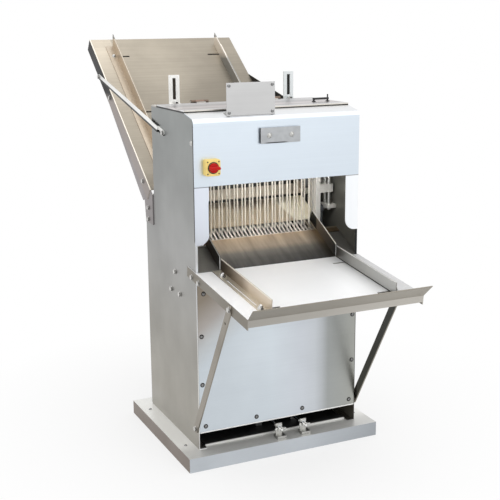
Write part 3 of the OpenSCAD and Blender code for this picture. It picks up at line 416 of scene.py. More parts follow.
# painted shade darkening the tray guides towards the back, and a painted shadow line along the right guide's
# foot
trayGuideShadeBand = (back, -0.53, -0.20, [(0.0, 1.0), (0.7, 0.9), (1.0, 0.3)])
trayGuideFootShadow = (trayUp, 0.5923, 0.6323, [(0.0, 0.02), (0.06, 0.02), (0.09, 1.0)])

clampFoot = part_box("clamp_plate")[0][2]
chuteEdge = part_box("chute_plate")[0][0]
troughUp = (0, -0.454, 0.891)  # square to the trough's floor

# what two finishes share
# the side panels' colour, darker than the front's, is painted shade on the same steel
sidePanel = {"colour": (0.43, 0.4125, 0.38), "streak": upAndDown, "grain": 0.015, "smudge": 0.06,
             "rough": 0.36, "bands": [sideReflectionBand]}
chuteGuide = {"streak": lengthways, "grain": 0.04, "smudge": 0.08, "rough": 0.40, "metal": 0.85}
trayGuide = {"streak": lengthways, "smudge": 0.06, "rough": 0.40}

sheetFinishes = {
    # painted shade on the faces turned back into the hood, painted light on its top and rolled corner
    "hoodSheet": {
        "colour": (0.68, 0.75, 0.82), "streak": across, "grain": 0.008, "smudge": 0.03, "rough": 0.36,
        "turns": [(back, (0.10, 0.09, 0.08)), (up, (0.84, 0.85, 0.86)), ((0, -1, 1), (0.82, 0.84, 0.87))]},
    # painted reflection darkening the left cheek, painted shade just under the hood and on faces turned
    # back, and a painted shadow line along the cheek's inner edge
    "cheekSheet": {
        "colour": (0.93, 0.95, 0.97), "streak": upAndDown, "grain": 0.008, "smudge": 0.02, "rough": 0.36,
        "bands": [(right, -0.26, 0.26, [(0.0, (0.78, 0.81, 0.88)), (1.0, 1.0)]),
                  (up, 0.80, 0.814, [(0.0, 1.0), (0.80, 1.0), (0.86, 0.42)])],
        "turns": [(back, (0.10, 0.09, 0.08))],
        "patch": ([(right, -0.2190, -0.2150, 0.0004), (up, 0.678, 0.772, 0.004)], 0.02)},
    # painted reflection darkens the right part and painted shade browns the upper left; faces turned back
    # carry painted shade
    "frontSheet": {
        "colour": (0.66, 0.72, 0.77), "streak": across, "grain": 0.010,
        "bands": [
            (right, -0.26, 0.26, [
                (0.0, 0.92), (0.45, 1.0), (0.65, (0.94, 0.91, 0.915)), (0.73, (0.89, 0.86, 0.85)),
                (0.775, (0.75, 0.72, 0.70)), (0.815, (0.57, 0.545, 0.505)), (1.0, (0.59, 0.55, 0.475))]),
            ((-0.6, 0, 0.8), 0.38, 0.54, [
                (0.0, 1.0), (0.31, (0.92, 0.88, 0.84)), (0.59, (0.69, 0.59, 0.52)),
                (1.0, (0.47, 0.37, 0.28))])],
        "turns": [(back, (0.08, 0.075, 0.07))]},
    # painted shade on the plate's left and right sides and a painted shadow along its foot
    "clampSheet": {
        "colour": (0.47, 0.485, 0.50), "streak": across, "grain": 0.02, "smudge": 0.16, "rough": 0.32,
        "smudgeScale": (40.0, 40.0, 40.0), "turns": [(left, 0.008), (right, 0.05)],
        "patch": ([(right, -0.046, 0.018, 0.008), (up, clampFoot - 0.01, clampFoot + 0.003, 0.001)], 0.03)},
    # painted shade on the inner face, a painted highlight on the front edge and a painted shadow gap beside
    # it
    "sideLeftSheet": {
        **sidePanel, "turns": [(right, innerShade), (front, 1.0)], "dull": (right, 0.2),
        "patch": ([(back, -0.203, -0.1945, 0.001), (up, 0.66, 0.985, 0.004)], 0.05)},
    # painted shade on the inner face and on the front edge
    "sideRightSheet": {**sidePanel, "turns": [(left, innerShade), (front, 0.03)], "dull": (left, 0.2)},
    # painted shade on right-facing faces and the left flange's upper part, a painted highlight along the
    # left edge, and painted reflection darkening the low end and the right part
    "chuteSheet": {
        "colour": (0.72, 0.645, 0.53), "streak": (3.0, 160.0, 160.0), "grain": 0.05, "smudge": 0.12,
        "rough": 0.44, "metal": 0.85, "turns": [(right, 0.16)],
        "patch": ([(right, chuteEdge + 0.0008, chuteEdge + 0.004, 0.0003)], (0.93, 0.875, 0.78)),
        "over": [(left, (0.36, 0.32, 0.30), [(up, 0.75, 1.22, [(0.0, 1.0), (0.52, 1.0), (0.58, 0.02)])])],
        "bands": [(up, 0.75, 1.22, [(0.0, 0.50), (0.25, 0.52), (0.50, 0.66), (0.85, 0.94), (1.0, 1.0)]),
                  (right, -0.265, 0.265, [
                      (0.0, 1.0), (0.135, 1.0), (0.145, 0.74), (0.45, 0.73), (0.75, 0.60)])]},
    # painted light on the faces turned left
    "guideSheet": {
        **chuteGuide, "colour": (0.60, 0.52, 0.42), "turns": [(left, (0.68, 0.58, 0.46))],
        "bands": [guideTip]},
    # painted reflection, greyer below and bright near the top
    "guideRightSheet": {
        **chuteGuide, "colour": (0.98, 0.91, 0.82),
        "bands": [guideTip, (up, 0.77, 1.21, [
            (0.0, (0.54, 0.53, 0.51)), (0.50, (0.44, 0.46, 0.48)), (0.80, (0.40, 0.43, 0.46)),
            (0.83, 1.0)])]},
    # painted shade on the faces turned inward
    "armSheet": {
        "colour": (0.36, 0.335, 0.335), "streak": armStreak, "grain": 0.04, "smudge": 0.10, "rough": 0.42,
        "inner": 0.035},
    # painted shade along the lower rim and on the faces turned inward
    "staySheet": {
        "colour": (0.95, 0.95, 0.93), "streak": armStreak, "smudge": 0.06, "inner": 0.03,
        "bands": [stayShadeBand]},
    # painted shade on the left side and under the cabinet, painted light on the top with a painted
    # reflection darkening its front strip, and painted reflection darkening the right
    "plinthSheet": {
        "colour": (0.72, 0.765, 0.81), "streak": across, "grain": 0.02, "smudge": 0.06, "rough": 0.38,
        "turns": [(left, (0.30, 0.25, 0.215))], "dull": (up, 0.25),
        "over": [(up, (0.98, 0.98, 0.95), [(back, -0.25, 0.25, [(0.0, 0.66), (0.10, 0.70), (0.20, 1.0)])])],
        "patch": ([(right, -0.256, 0.256, 0.002), (back, -0.176, 0.190, 0.010)], 0.02),
        "bands": [(right, -0.31, 0.31, [(0.0, 0.80), (0.60, 0.80), (0.85, 0.64), (1.0, 0.54)])]},
    # painted light and shade by face: a white floor, a lighter front skirt, darker sides and lip; painted
    # shade darkens it to the left, the back and near the right guide
    "traySheet": {
        "colour": (0.33, 0.30, 0.25), "streak": across, "grain": 0.015, "rough": 0.50, "metal": 0.30,
        "turns": [(front, (0.59, 0.565, 0.52)), ((0, -0.77, -0.64), (0.36, 0.335, 0.29))],
        "bands": [(right, -0.26, 0.26, [(0.0, 0.72), (1.0, 1.0)])],
        "over": [(up, (0.99, 0.99, 0.99), [(back, -0.53, -0.20, [(0.0, 1.0), (0.70, 1.0), (1.0, 0.87)]),
                                           (right, 0.09, 0.19, [(0.0, 1.0), (0.45, 0.93), (1.0, 0.66)])])]},
    # painted shade darkening towards the back and on the faces turned up
    "trayGuideLeftSheet": {
        **trayGuide, "colour": (0.80, 0.70, 0.58), "metal": 0.8,
        "bands": [(back, -0.53, -0.20, [
            (0.0, 1.0), (0.40, (0.88, 0.86, 0.83)), (0.55, (0.46, 0.42, 0.38)), (0.8, (0.26, 0.23, 0.20)),
            (1.0, (0.14, 0.13, 0.12))])],
        "over": [(up, (0.70, 0.65, 0.55), ())]},
    # painted shade along the guide and a painted shadow at its foot
    "trayGuideRightSheet": {
        **trayGuide, "colour": (0.56, 0.56, 0.54), "bands": [trayGuideShadeBand],
        "over": [(left, (0.56, 0.56, 0.54), [trayGuideShadeBand, trayGuideFootShadow])]},
    # painted shade at the foot, a warmer painted reflection towards the comb, a dark painted reflection at
    # the right, a painted highlight on the right wall's front edge and a painted tone on the faces turned
    # left
    "troughSheet": {
        "colour": (0.98, 0.95, 0.91), "streak": (160.0, 4.0, 4.0), "grain": 0.05, "smudge": 0.34,
        "smudgeScale": (45.0, 7.0, 7.0), "rough": 0.36, "metal": 0.55,
        "patch": ([(right, 0.184, 0.190, 0.0005), (troughUp, 0.6358, 0.650, 0.0004)], (0.80, 0.79, 0.75)),
        "over": [(left, (0.36, 0.35, 0.33), [(back, -0.205, -0.04, [
            (0.0, (0.13, 0.13, 0.125)), (0.35, (0.26, 0.24, 0.22)), (0.72, (0.50, 0.42, 0.34)),
            (0.745, 0.03)])])],
        "bands": [
            (back, -0.205, -0.04, [
                (0.0, 0.012), (0.02, 0.012), (0.035, 0.08), (0.20, (0.115, 0.113, 0.108)),
                (0.35, (0.225, 0.212, 0.196)), (0.47, (0.47, 0.40, 0.32)), (0.60, (0.54, 0.44, 0.335)),
                (0.72, (0.60, 0.47, 0.336)), (0.745, (0.92, 0.89, 0.85))]),
            (right, 0.13, 0.185, [
                (0.0, 1.0), (0.4, 0.72), (0.75, (0.42, 0.37, 0.30)), (1.0, (0.28, 0.25, 0.19))])]},
    # painted reflection brightening the right part and painted shade in a patch near the middle
    "bedSheet": {
        "colour": (1.0, 0.94, 0.78), "streak": across, "grain": 0.05, "smudge": 0.10, "rough": 0.50,
        "metal": 0.15,
        "bands": [((1, 0.35, 0), 0.09, 0.17, [
            (0.0, (0.52, 0.455, 0.40)), (0.42, (0.58, 0.505, 0.44)), (0.55, 1.0)])],
        "patch": ([(right, -0.040, 0.060, 0.012), (back, 0.035, 0.20, 0.012)], (0.20, 0.16, 0.125))},
    "frameSteel": {
        "colour": (0.90, 0.88, 0.82), "streak": upAndDown, "grain": 0.04, "smudge": 0.10, "rough": 0.38,
        "metal": 0.5},
    # painted shade on the faces turned inward
    "strutSteel": {
        "colour": (0.34, 0.31, 0.265), "streak": (200.0, 8.0, 8.0), "grain": 0.05, "smudge": 0.12,
        "rough": 0.36, "inner": (0.12, 0.115, 0.10)},
    # painted reflection darkening towards the right
    "uprightSheet": {
        "colour": (0.99, 0.98, 0.95), "streak": upAndDown, "grain": 0.015, "smudge": 0.04, "rough": 0.36,
        "metal": 0.45, "bands": [(right, -0.2, 0.2, [(0.3, 1.0), (0.7, (0.72, 0.755, 0.785))])]},
    # painted shadow lines at the plate's front edge and below the hood's edge, and painted shade behind the
    # right upright; warmer above
    "holdDownSteel": {
        "colour": (0.58, 0.50, 0.40), "streak": across, "grain": 0.05, "smudge": 0.12, "rough": 0.48,
        "metal": 0.4,
        "bands": [
            (up, 0.95, 1.02, [(0.0, 1.0), (1.0, (0.95, 0.80, 0.68))]),
            (back, -0.013, 0.10, [(0.0, 0.04), (0.07, 0.04), (0.09, 1.0), (0.465, 1.0), (0.50, 0.06)])],
        "patch": ([(right, 0.15, 0.25, 0.010), (up, 1.00, 1.20, 0.010)], 0.010)},
    # painted light on the left rim, a painted shadow along the rim's lower half and painted reflection
    # varying along the lid
    "lidSheet": {
        "colour": (0.66, 0.63, 0.58), "streak": across, "grain": 0.015, "smudge": 0.08, "rough": 0.40,
        "turns": [(left, 0.85), (up, (0.66, 0.655, 0.66))],
        "bands": [(up, 1.0103, 1.0183, [(0.0, 0.05), (0.50, 0.05), (0.62, 1.0)]),
                  (back, -0.137, 0.085, [
                      (0.0, 1.0), (0.10, 1.0), (0.18, (0.68, 0.65, 0.64)), (0.34, (1.0, 0.95, 0.94)),
                      (0.58, (0.70, 0.68, 0.68)), (0.80, 0.95), (0.97, 0.90), (1.0, (0.40, 0.30, 0.26))])]},
    # painted light on the faces turned up and painted shade in a band along its upper part
    "beamSheet": {
        "colour": (0.52, 0.49, 0.45), "streak": across, "grain": 0.02, "smudge": 0.06, "rough": 0.40,
        "turns": [(up, (0.78, 0.77, 0.74))],
        "bands": [(up, 1.010, 1.030, [(0.0, 1.0), (0.38, 1.0), (0.48, (0.34, 0.27, 0.23))])]},
    "badgeSheet": {
        "colour": (0.55, 0.55, 0.55), "streak": across, "grain": 0.015, "smudge": 0.04, "rough": 0.42,
        "metal": 0.8},
    "plainSheet": {"colour": (0.42, 0.42, 0.41), "streak": across, "smudge": 0.08, "rough": 0.40},
    # painted shade above and behind the rail's front edge
    "crossRailSteel": {
        "colour": (0.92, 0.92, 0.90), "streak": across, "grain": 0.02, "rough": 0.40, "metal": 0.4,
        "bands": [(up, 0.04, 0.10, [(0.0, 1.0), (0.18, 1.0), (0.25, 0.02)]),
                  (back, -0.20, -0.15, [(0.0, 1.0), (0.36, 1.0), (0.42, 0.04)])]},
    # painted shade: the trough wings are near black
    "wingSheet": {
        "colour": (0.15, 0.145, 0.13), "streak": across, "smudge": 0.2, "rough": 0.40, "metal": 0.5},
    # painted light and shade on the fasteners: faces turned up lighter, faces turned down and to the sides
    # darker, and the screws lighter on the right
    "screwSteel": {"colour": (0.30, 0.30, 0.30), "streak": fineGrain, "rough": 0.28,
                   "turns": [(right, 0.95), (left, 0.05), (down, 0.05), (up, 0.9)]},
    "boltSteel": {"colour": (0.62, 0.61, 0.59), "streak": fineGrain, "rough": 0.26,
                  "turns": [(up, 0.95), (down, 0.04), (back, 0.12), (front, 0.10)]},
    "nutSteel": {"colour": (0.90, 0.90, 0.88), "streak": fineGrain, "rough": 0.24,
                 "turns": [(left, 0.10), (down, 0.03), (back, 0.06), (up, 1.0)]},
    # painted highlight: the hem beads are lighter than the sheets they edge
    "hemSteel": {"colour": (0.95, 0.95, 0.93), "streak": hemGrain, "rough": 0.28, "metal": 0.25},
    "guideHemSteel": {"colour": (0.95, 0.90, 0.82), "streak": hemGrain, "rough": 0.30, "metal": 0.25},
    "bladeSteel": {"colour": (0.96, 0.91, 0.82), "streak": (400.0, 400.0, 12.0), "metal": 0.10},
}
castFinishes = {
    "machinedSteel": {"colour": (0.26, 0.26, 0.26), "grainScale": 160.0, "rough": 0.42},
    "platedSteel": {
        "colour": (0.52, 0.52, 0.50), "grainScale": 220.0, "rough": 0.30, "metal": 1.0, "bump": 0.05},
    # painted shade: near black for the washers and the strips under the slots
    "darkSteel": {
        "colour": (0.06, 0.058, 0.055), "grainScale": 220.0, "rough": 0.40, "metal": 0.9, "bump": 0.05},
    "castGrey": {"colour": (0.10, 0.105, 0.11), "grainScale": 240.0, "rough": 0.55},
    "motorPaint": {"colour": (0.08, 0.11, 0.15), "grainScale": 300.0, "rough": 0.45, "metal": 0.1},
}
plasticFinishes = {
    "beltRubber": {"colour": (0.02, 0.02, 0.02), "rough": 0.7},
    "blackPlastic": {"colour": (0.015, 0.015, 0.016), "rough": 0.5},
    "yellowPlastic": {"colour": (0.92, 0.70, 0.22), "rough": 0.4},
    "redPlastic": {"colour": (0.52, 0.012, 0.010), "rough": 0.42, "gloss": 0.15},
}
makers = [(brushedSheet, sheetFinishes), (castMetal, castFinishes), (mouldedPlastic, plasticFinishes)]
finishes = {name: make(name, **spec) for make, specs in makers for name, spec in specs.items()}

slotFinish = {
    "polished_steel": "hoodSheet", "side_steel": "sideLeftSheet", "chute_steel": "chuteSheet",
    "plinth_steel": "plinthSheet", "plain_steel": "machinedSteel", "bright_steel": "platedSteel",
    "blade_steel": "bladeSteel", "cast_grey": "castGrey", "belt_rubber": "beltRubber",
    "motor_paint": "motorPaint", "black_plastic": "blackPlastic", "switch_yellow": "yellowPlastic",
    "switch_red": "redPlastic",
}
nodeFinish = {
    "hood_cheeks": "cheekSheet", "front_panel": "frontSheet", "clamp_plate": "clampSheet",
    "side_panel_right": "sideRightSheet", "chute_guide_left": "guideSheet",
    "chute_guide_right": "guideRightSheet", "chute_arms": "armSheet", "chute_stays": "staySheet",
    "tray": "traySheet", "tray_guide_left": "trayGuideLeftSheet", "tray_guide_right": "trayGuideRightSheet",
    "outfeed_trough": "troughSheet", "feed_bed": "bedSheet", "front_frame": "frameSteel",
    "rear_frame": "frameSteel", "tray_struts": "strutSteel", "slotted_uprights": "uprightSheet",
    "hold_down": "holdDownSteel", "lid": "lidSheet", "rear_beam": "beamSheet",
    "name_plate": "badgeSheet", "name_plate_bracket": "plainSheet", "rear_panel": "plainSheet",
    "guide_brackets": "frameSteel", "cross_rails": "crossRailSteel",
}
slotOf = {row["node"]: row["material_slot"] for row in frame["record"]["subparts"]}


def dress(name, mat):
    slots = nodes[name].data.materials
    if len(slots) == 0:
        slots.append(mat)
    for i in range(len(slots)):
        slots[i] = mat


for name in nodes:
    dress(name, finishes[nodeFinish.get(name, slotFinish[slotOf[name]])])
print("finishes given to", len(nodes), "nodes")

# soft edges on the folded and machined pieces; angles in degrees
edges = {"width": 0.0006, "angle": 40.0, "steps": 2, "weld": 0.00002, "flat": 0.5, "weight": 60,
         "sharp": 35.0}


def softenEdges(obj):
    weld = obj.modifiers.new("weld", "WELD")
    weld.merge_threshold = edges["weld"]
    flat = obj.modifiers.new("flat", "DECIMATE")
    flat.decimate_type = "DISSOLVE"
    flat.angle_limit = radians(edges["flat"])
    bevel = obj.modifiers.new("edge", "BEVEL")
    bevel.width = edges["width"]
    bevel.segments = edges["steps"]
    bevel.limit_method = "ANGLE"
    bevel.angle_limit = radians(edges["angle"])
    smooth = obj.modifiers.new("normals", "WEIGHTED_NORMAL")
    smooth.weight = edges["weight"]


for obj in nodes.values():
    softenEdges(obj)
print("edges softened")


# pieces are gathered as points and faces, each shape in a place of its own
def newShape():
    return {"points": [], "faces": []}


def standing(at, direction):
    # a place whose Z runs along a direction
    turn = Vector(direction).to_track_quat("Z", "Y").to_matrix().to_4x4()
    return Matrix.Translation(Vector(at)) @ turn


def laidOn(at, xAxis, yAxis):
    x, y = Vector(xAxis).normalized(), Vector(yAxis).normalized()
    axes = Matrix((x, y, x.cross(y))).transposed().to_4x4()
    return Matrix.Translation(Vector(at)) @ axes


asItIs = Matrix.Identity(4)


def joinRings(shape, rings, place, loop=False):
    # rings of equally many points, counter-clockwise and rising; open ends are closed by one face
    first, count = len(shape["points"]), len(rings[0])
    for ring in rings:
        shape["points"] += [tuple(place @ Vector(p)) for p in ring]
    for k in range(len(rings) if loop else len(rings) - 1):
        low = first + k * count
        high = first + (k + 1) % len(rings) * count
        for j in range(count):
            n = (j + 1) % count
            shape["faces"].append((low + j, low + n, high + n, high + j))
    if not loop:
        last = first + (len(rings) - 1) * count
        shape["faces"].append(tuple(first + j for j in reversed(range(count))))
        shape["faces"].append(tuple(last + j for j in range(count)))


def fullTurn(steps):
    return [2 * pi * k / steps for k in range(steps)]


def circle(radius, height, steps=24):
    return [(radius * cos(t), radius * sin(t), height) for t in fullTurn(steps)]


def lathed(shape, profile, place, steps=24, loop=False):
    joinRings(shape, [circle(r, h, steps) for r, h in profile], place, loop)


def hexRing(corner, height, drop=0.0, flat=0.0):
    # a hexagon; with drop its corners fall away from a round flat on top, as a turned chamfer does
    ring = []
    for t in fullTurn(24):
        r = corner * cos(pi / 6) / cos(t % (pi / 3) - pi / 6)
        ring.append((r * cos(t), r * sin(t), height - drop * (r - flat)))
    return ring


def linkOutline(ends, height, inset, steps):
    # outline drawn tight round two circles, each given as x, y and radius
    ring = []
    for t in fullTurn(steps):
        d = Vector((cos(t), sin(t)))
        x, y, r = max(ends, key=lambda e: e[0] * d.x + e[1] * d.y + e[2])
        ring.append((x + d.x * (r - inset), y + d.y * (r - inset), height))
    return ring


def softLevels(low, high, soft):
    # insets and heights of a plate with softened rims
    return [(soft, low), (0.0, low + soft), (0.0, high - soft), (soft, high)]


def linked(shape, ends, low, high, soft, place):
    joinRings(shape, [linkOutline(ends, h, s, 32) for s, h in softLevels(low, high, soft)], place)


def roundedBox(width, height, corner, level, perCorner):
    ring = []
    for quarter, (sx, sy) in enumerate([(1, 1), (-1, 1), (-1, -1), (1, -1)]):
        for k in range(perCorner):
            t = pi / 2 * (quarter + k / (perCorner - 1))
            ring.append((sx * (width / 2 - corner) + corner * cos(t),
                         sy * (height / 2 - corner) + corner * sin(t), level))
    return ring


def beadAlong(shape, points, radius):
    # round bead along a line of points that lies in one plane
    points = [Vector(p) for p in points]
    runs = [(b - a).normalized() for a, b in zip(points, points[1:])]
    side = runs[0].cross(runs[-1]) if len(runs) > 1 else runs[0].orthogonal()
    side.normalize()
    rings = []
    for k, p in enumerate(points):
        before, after = runs[max(k - 1, 0)], runs[min(k, len(runs) - 1)]
        run = (before + after).normalized()
        out = run.cross(side) / run.dot(after)
        rings.append([p + (out * cos(t) - side * sin(t)) * radius for t in fullTurn(10)])
    joinRings(shape, rings, asItIs)


def meshObject(name, shape, finish, body):
    mesh = bpy.data.meshes.new(name)
    mesh.from_pydata(shape["points"], [], shape["faces"])
    mesh.update()
    obj = bpy.data.objects.new(name, mesh)
    bpy.context.collection.objects.link(obj)
    mesh.materials.append(finishes[finish])
    if body:
        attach(obj, body)
    return obj


def makePiece(name, shape, finish, body, replaced=None):
    obj = meshObject(name, shape, finish, body)
    obj.data.shade_smooth()
    obj.data.set_sharp_from_angle(angle=radians(edges["sharp"]))
    if replaced:
        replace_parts(obj, replaced)
    return obj


def solidsOf(node):
    # the separate solids of one node, as lists of points
    mesh = nodes[node].data
    spots = [tuple(round(c, 5) for c in v.co) for v in mesh.vertices]
    owner = {s: s for s in spots}

    def root(s):
        while owner[s] != s:
            owner[s] = owner[owner[s]]
            s = owner[s]
        return s

    for face in mesh.polygons:
        head = root(spots[face.vertices[0]])
        for i in face.vertices[1:]:
            owner[root(spots[i])] = head
    solids = {}
    for s in owner:
        solids.setdefault(root(s), []).append(Vector(s))
    return list(solids.values())


# blades with a scalloped cutting edge towards the loaf
bladeRow = {"thick": 0.0008, "spacing": 0.0125, "tooth": 0.0075, "depth": 0.0012, "steps": 5,
            "bevel": 0.0028, "edge": 0.00012}


def scallopedBlades(name, node, body, reach, spec):
    # a blade at every second place, as the other set stands between them
    low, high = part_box(node)
    heel, tip = low[1], high[1]
    half, e = spec["thick"] / 2, spec["edge"]
    rows = int((high[2] - low[2]) / spec["tooth"]) * spec["steps"]
    shape = newShape()
    for place in range(-reach, reach + 1, 2):
        x = place * spec["spacing"]
        rings = []
        for k in range(rows + 1):
            z = low[2] + (high[2] - low[2]) * k / rows
            t = (k % spec["steps"]) / spec["steps"]
            bite = spec["depth"] * sin(pi * t)
            bevel = tip - spec["bevel"] - bite
            rings.append([(x - half, heel, z), (x + half, heel, z), (x + half, bevel, z),
                          (x + e, tip - bite, z), (x - e, tip - bite, z), (x - half, bevel, z)])
        joinRings(shape, rings, asItIs)
    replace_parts(meshObject(name, shape, "bladeSteel", body), node)


scallopedBlades("frontBladeRow", "front_blades", "front_blade_frame", 14, bladeRow)
scallopedBlades("rearBladeRow", "rear_blades", "rear_blade_frame", 13, bladeRow)
print("blades cut")

# shares of the radius at a thread's tip and root
thread = {"tip": 0.7, "root": 0.86}

# pan head screws with a cross recess; the dome is in shares of the head's radius and height
panelScrew = {"head": 0.0045, "height": 0.003, "shank": 0.0025, "point": 0.0008, "arm": 0.0027,
              "half": 0.0007, "deep": 0.0015, "taper": 0.8,
              "dome": [(1.0, 0.0), (1.0, 0.3), (0.96, 0.55), (0.86, 0.78), (0.70, 0.95), (0.64, 1.0)]}


def headPlaces(node, level, height):
    # under each head: the place, which way it points and the shank's length; heads point up or outwards
    for solid in solidsOf(node):
        low, high, mid = boxOf(solid)
        size = high - low
        axis = 2 if size.z > size[level] else level
        outer = high if mid[axis] > 0 else low
        way, tip = Vector((0, 0, 0)), mid.copy()
        way[axis] = 1.0 if outer is high else -1.0
        tip[axis] = outer[axis]
        yield standing(tip - way * height, way), way, max(size) - height


def crossRing(arm, half, height):
    mid = (arm + half) / 2
    quarter = [(arm, 0.0), (arm, half), (mid, half), (half, half), (half, mid), (half, arm)]
    ring = []
    for k in range(4):
        c, s = round(cos(pi / 2 * k)), round(sin(pi / 2 * k))
        ring += [(x * c - y * s, x * s + y * c, height) for x, y in quarter]
    return ring


def addPanScrew(shape, place, length, spec):
    h, shank = spec["height"], spec["shank"]
    profile = [(shank * thread["tip"], -length), (shank, -length + spec["point"]), (shank, 0.0)]
    profile += [(spec["head"] * r, h * rise) for r, rise in spec["dome"]]
    rings = [circle(radius, height) for radius, height in profile]
    for share, sunk in ((1.0, 0.0), (spec["taper"], spec["deep"])):
        rings.append(crossRing(spec["arm"] * share, spec["half"] * share, h - sunk))
    joinRings(shape, rings, place)


# washers painted near black lie round the heads on the front panel, as the shade round each head
panelWasher = {"radius": 0.0068, "thick": 0.0012, "soft": 0.0003, "room": 0.0001}


def addWasher(shape, place, spec):
    inner, r, h, soft = panelScrew["head"] + spec["room"], spec["radius"], spec["thick"], spec["soft"]
    lathed(shape, [(inner, 0.0), (r, 0.0), (r, h - soft), (r - soft, h), (inner, h)], place, loop=True)


def panelScrews():
    shape, washers = newShape(), newShape()
    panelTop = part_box("front_panel")[1][2]
    for place, way, length in headPlaces("panel_screws", 1, panelScrew["height"]):
        addPanScrew(shape, place, length, panelScrew)
        if way == Vector(front) and place.translation.z < panelTop:
            addWasher(washers, place, panelWasher)
    makePiece("panelScrewSet", shape, "screwSteel", "cabinet", "panel_screws")
    makePiece("panelWasherSet", washers, "darkSteel", "cabinet")


panelScrews()

# hexagon bolts on flat washers; the dish on top is in shares of the flat's radius, and how deep it lies
frameBolt = {"corner": 0.0073, "height": 0.0052, "flat": 0.82, "drop": 0.58, "washer": 0.0082,
             "washerHeight": 0.0012, "soft": 0.0002, "shank": 0.004, "pitch": 0.00125,
             "dish": [(1.0, 0.0), (0.80, 0.0), (0.74, 0.0003)]}


def addHexBolt(shape, place, length, spec):
    h, w, soft, corner = spec["height"], spec["washerHeight"], spec["soft"], spec["corner"]
    washer, shank, pitch, flat = spec["washer"], spec["shank"], spec["pitch"], corner * spec["flat"]
    lathed(shape, [(washer - s, level) for s, level in softLevels(0.0, w, soft)], place)
    head = [hexRing(corner, w), hexRing(corner, h, spec["drop"], flat)]
    joinRings(shape, head + [circle(flat * share, h - sunk) for share, sunk in spec["dish"]], place)
    root, profile = shank * thread["root"], [(shank * thread["tip"], -length)]
    for k in range(int(length / pitch)):
        profile += [(shank, -length + (k + 0.5) * pitch), (root, -length + (k + 1) * pitch)]
    lathed(shape, profile + [(root, 0.0)], place, 12)


def frameBolts():
    shape = newShape()
    for place, way, length in headPlaces("frame_bolts", 0, frameBolt["height"]):
        addHexBolt(shape, place, length, frameBolt)
    makePiece("frameBoltSet", shape, "boltSteel", "cabinet", "frame_bolts")


frameBolts()
print("screws and bolts turned")

# clamps of the sliding guides: cap nut, stud and a strip under the slot, painted near black as the shade
# seen through the slot
capNuts = {"chute": {"nut": 0.0075, "height": 0.007}, "tray": {"nut": 0.0085, "height": 0.012}}
capNut = {"washer": 0.001, "brim": (1.08, 1.04), "hexShare": 0.42, "dome": 0.80, "drop": 0.5, "rings": 7,
          "quarter": 6.4}
clampStud = {"radius": 0.003, "foot": 0.0083, "seat": 0.0023, "point": 0.0006, "tip": 0.8}
clampStrip = {"inward": 0.052, "outward": 0.012, "half": 0.008, "top": -0.0023, "thick": 0.003,
              "soft": 0.0005}
guides = [(kind, side) for kind in ("chute", "tray") for side in ("Left", "Right")]


def addCapNut(shape, place, size, spec):
    seat, w, r, stud = clampStud["seat"], spec["washer"], size["nut"], clampStud["radius"]
    top = seat + size["height"]
    wide, narrow = (r * share for share in spec["brim"])
    lathed(shape, [(wide, seat), (wide, seat + w * 0.8), (narrow, seat + w)], place)
    hexTop = seat + w + (size["height"] - w) * spec["hexShare"]
    dome = r * spec["dome"]
    rings = [hexRing(r, seat + w), hexRing(r, hexTop, spec["drop"], dome)]
    for k in range(spec["rings"]):
        t = pi / 2 * k / spec["quarter"]
        rings.append(circle(dome * cos(t), hexTop + (top - hexTop) * sin(t)))
    joinRings(shape, rings, place)
    foot, tip = -clampStud["foot"], stud * clampStud["tip"]
    lathed(shape, [(tip, foot), (stud, foot + clampStud["point"]), (stud, seat)], place, 16)


def guideClamp(kind, side):
    node, body = f"{kind}_knobs_{side.lower()}", f"{kind}_side_{side.lower()}"
    studs = sorted(((boxOf(solid)[2], solid) for solid in solidsOf(node)), key=lambda stud: stud[0].y)
    run = (studs[1][0] - studs[0][0]).normalized()
    normal = Vector(right).cross(run)
    nuts, strips, strip = newShape(), newShape(), clampStrip
    ends = [(strip["inward"], 0.0, strip["half"]), (-strip["outward"], 0.0, strip["half"])]
    for mid, solid in studs:
        spread = [p.dot(run) for p in solid]
        foot = min(p.dot(normal) for p in solid)
        at = run * (min(spread) + max(spread)) / 2 + normal * (foot + clampStud["foot"])
        at += Vector((mid.x, 0, 0))
        addCapNut(nuts, laidOn(at, right, run), capNuts[kind], capNut)
        place = laidOn(at, left, -run) if mid.x > 0 else laidOn(at, right, run)
        linked(strips, ends, strip["top"] - strip["thick"], strip["top"], strip["soft"], place)
    makePiece(f"{kind}Clamp{side}", nuts, "boltSteel", body, node)
    makePiece(f"{kind}Clamp{side}Strip", strips, "darkSteel", body)


for kind, side in guides:
    guideClamp(kind, side)
print("guide clamps made")

# rotary switch: case in two halves with corner screws, black collar and a lobed knob
# an edge is a list of insets, each with how far it lies under the face
switchCase = {"corner": 0.006, "perCorner": 8, "hole": 0.0042, "split": 0.0075, "groove": 0.0008,
              "soft": 0.0004, "edge": [(0.0, 0.0030), (0.0004, 0.0015), (0.0012, 0.0004), (0.0026, 0.0)],
              "screwAt": 0.0165, "screw": 0.0021,
              "screwShape": [(1.0, -0.001), (1.0, 0.0004), (0.8, 0.0007), (0.4, 0.0007), (0.3, 0.0002)],
              "collarIn": 0.0139, "collarOut": 0.0163, "collarHigh": 0.0014, "collarSoft": 0.0006}
switchKnob = {"lobes": 16, "lobe": 0.0005, "steps": 96, "base": 0.007, "gap": 0.0003, "soft": 0.0006,
              "edge": [(0.0, 0.0018), (0.0009, 0.0005), (0.0022, 0.0)], "gripHalf": 0.0045, "sunk": 0.001,
              "gripEdge": [(0.0, 0.004), (0.0004, 0.0018), (0.0012, 0.0005), (0.0024, 0.0)],
              "spindle": 0.0038}


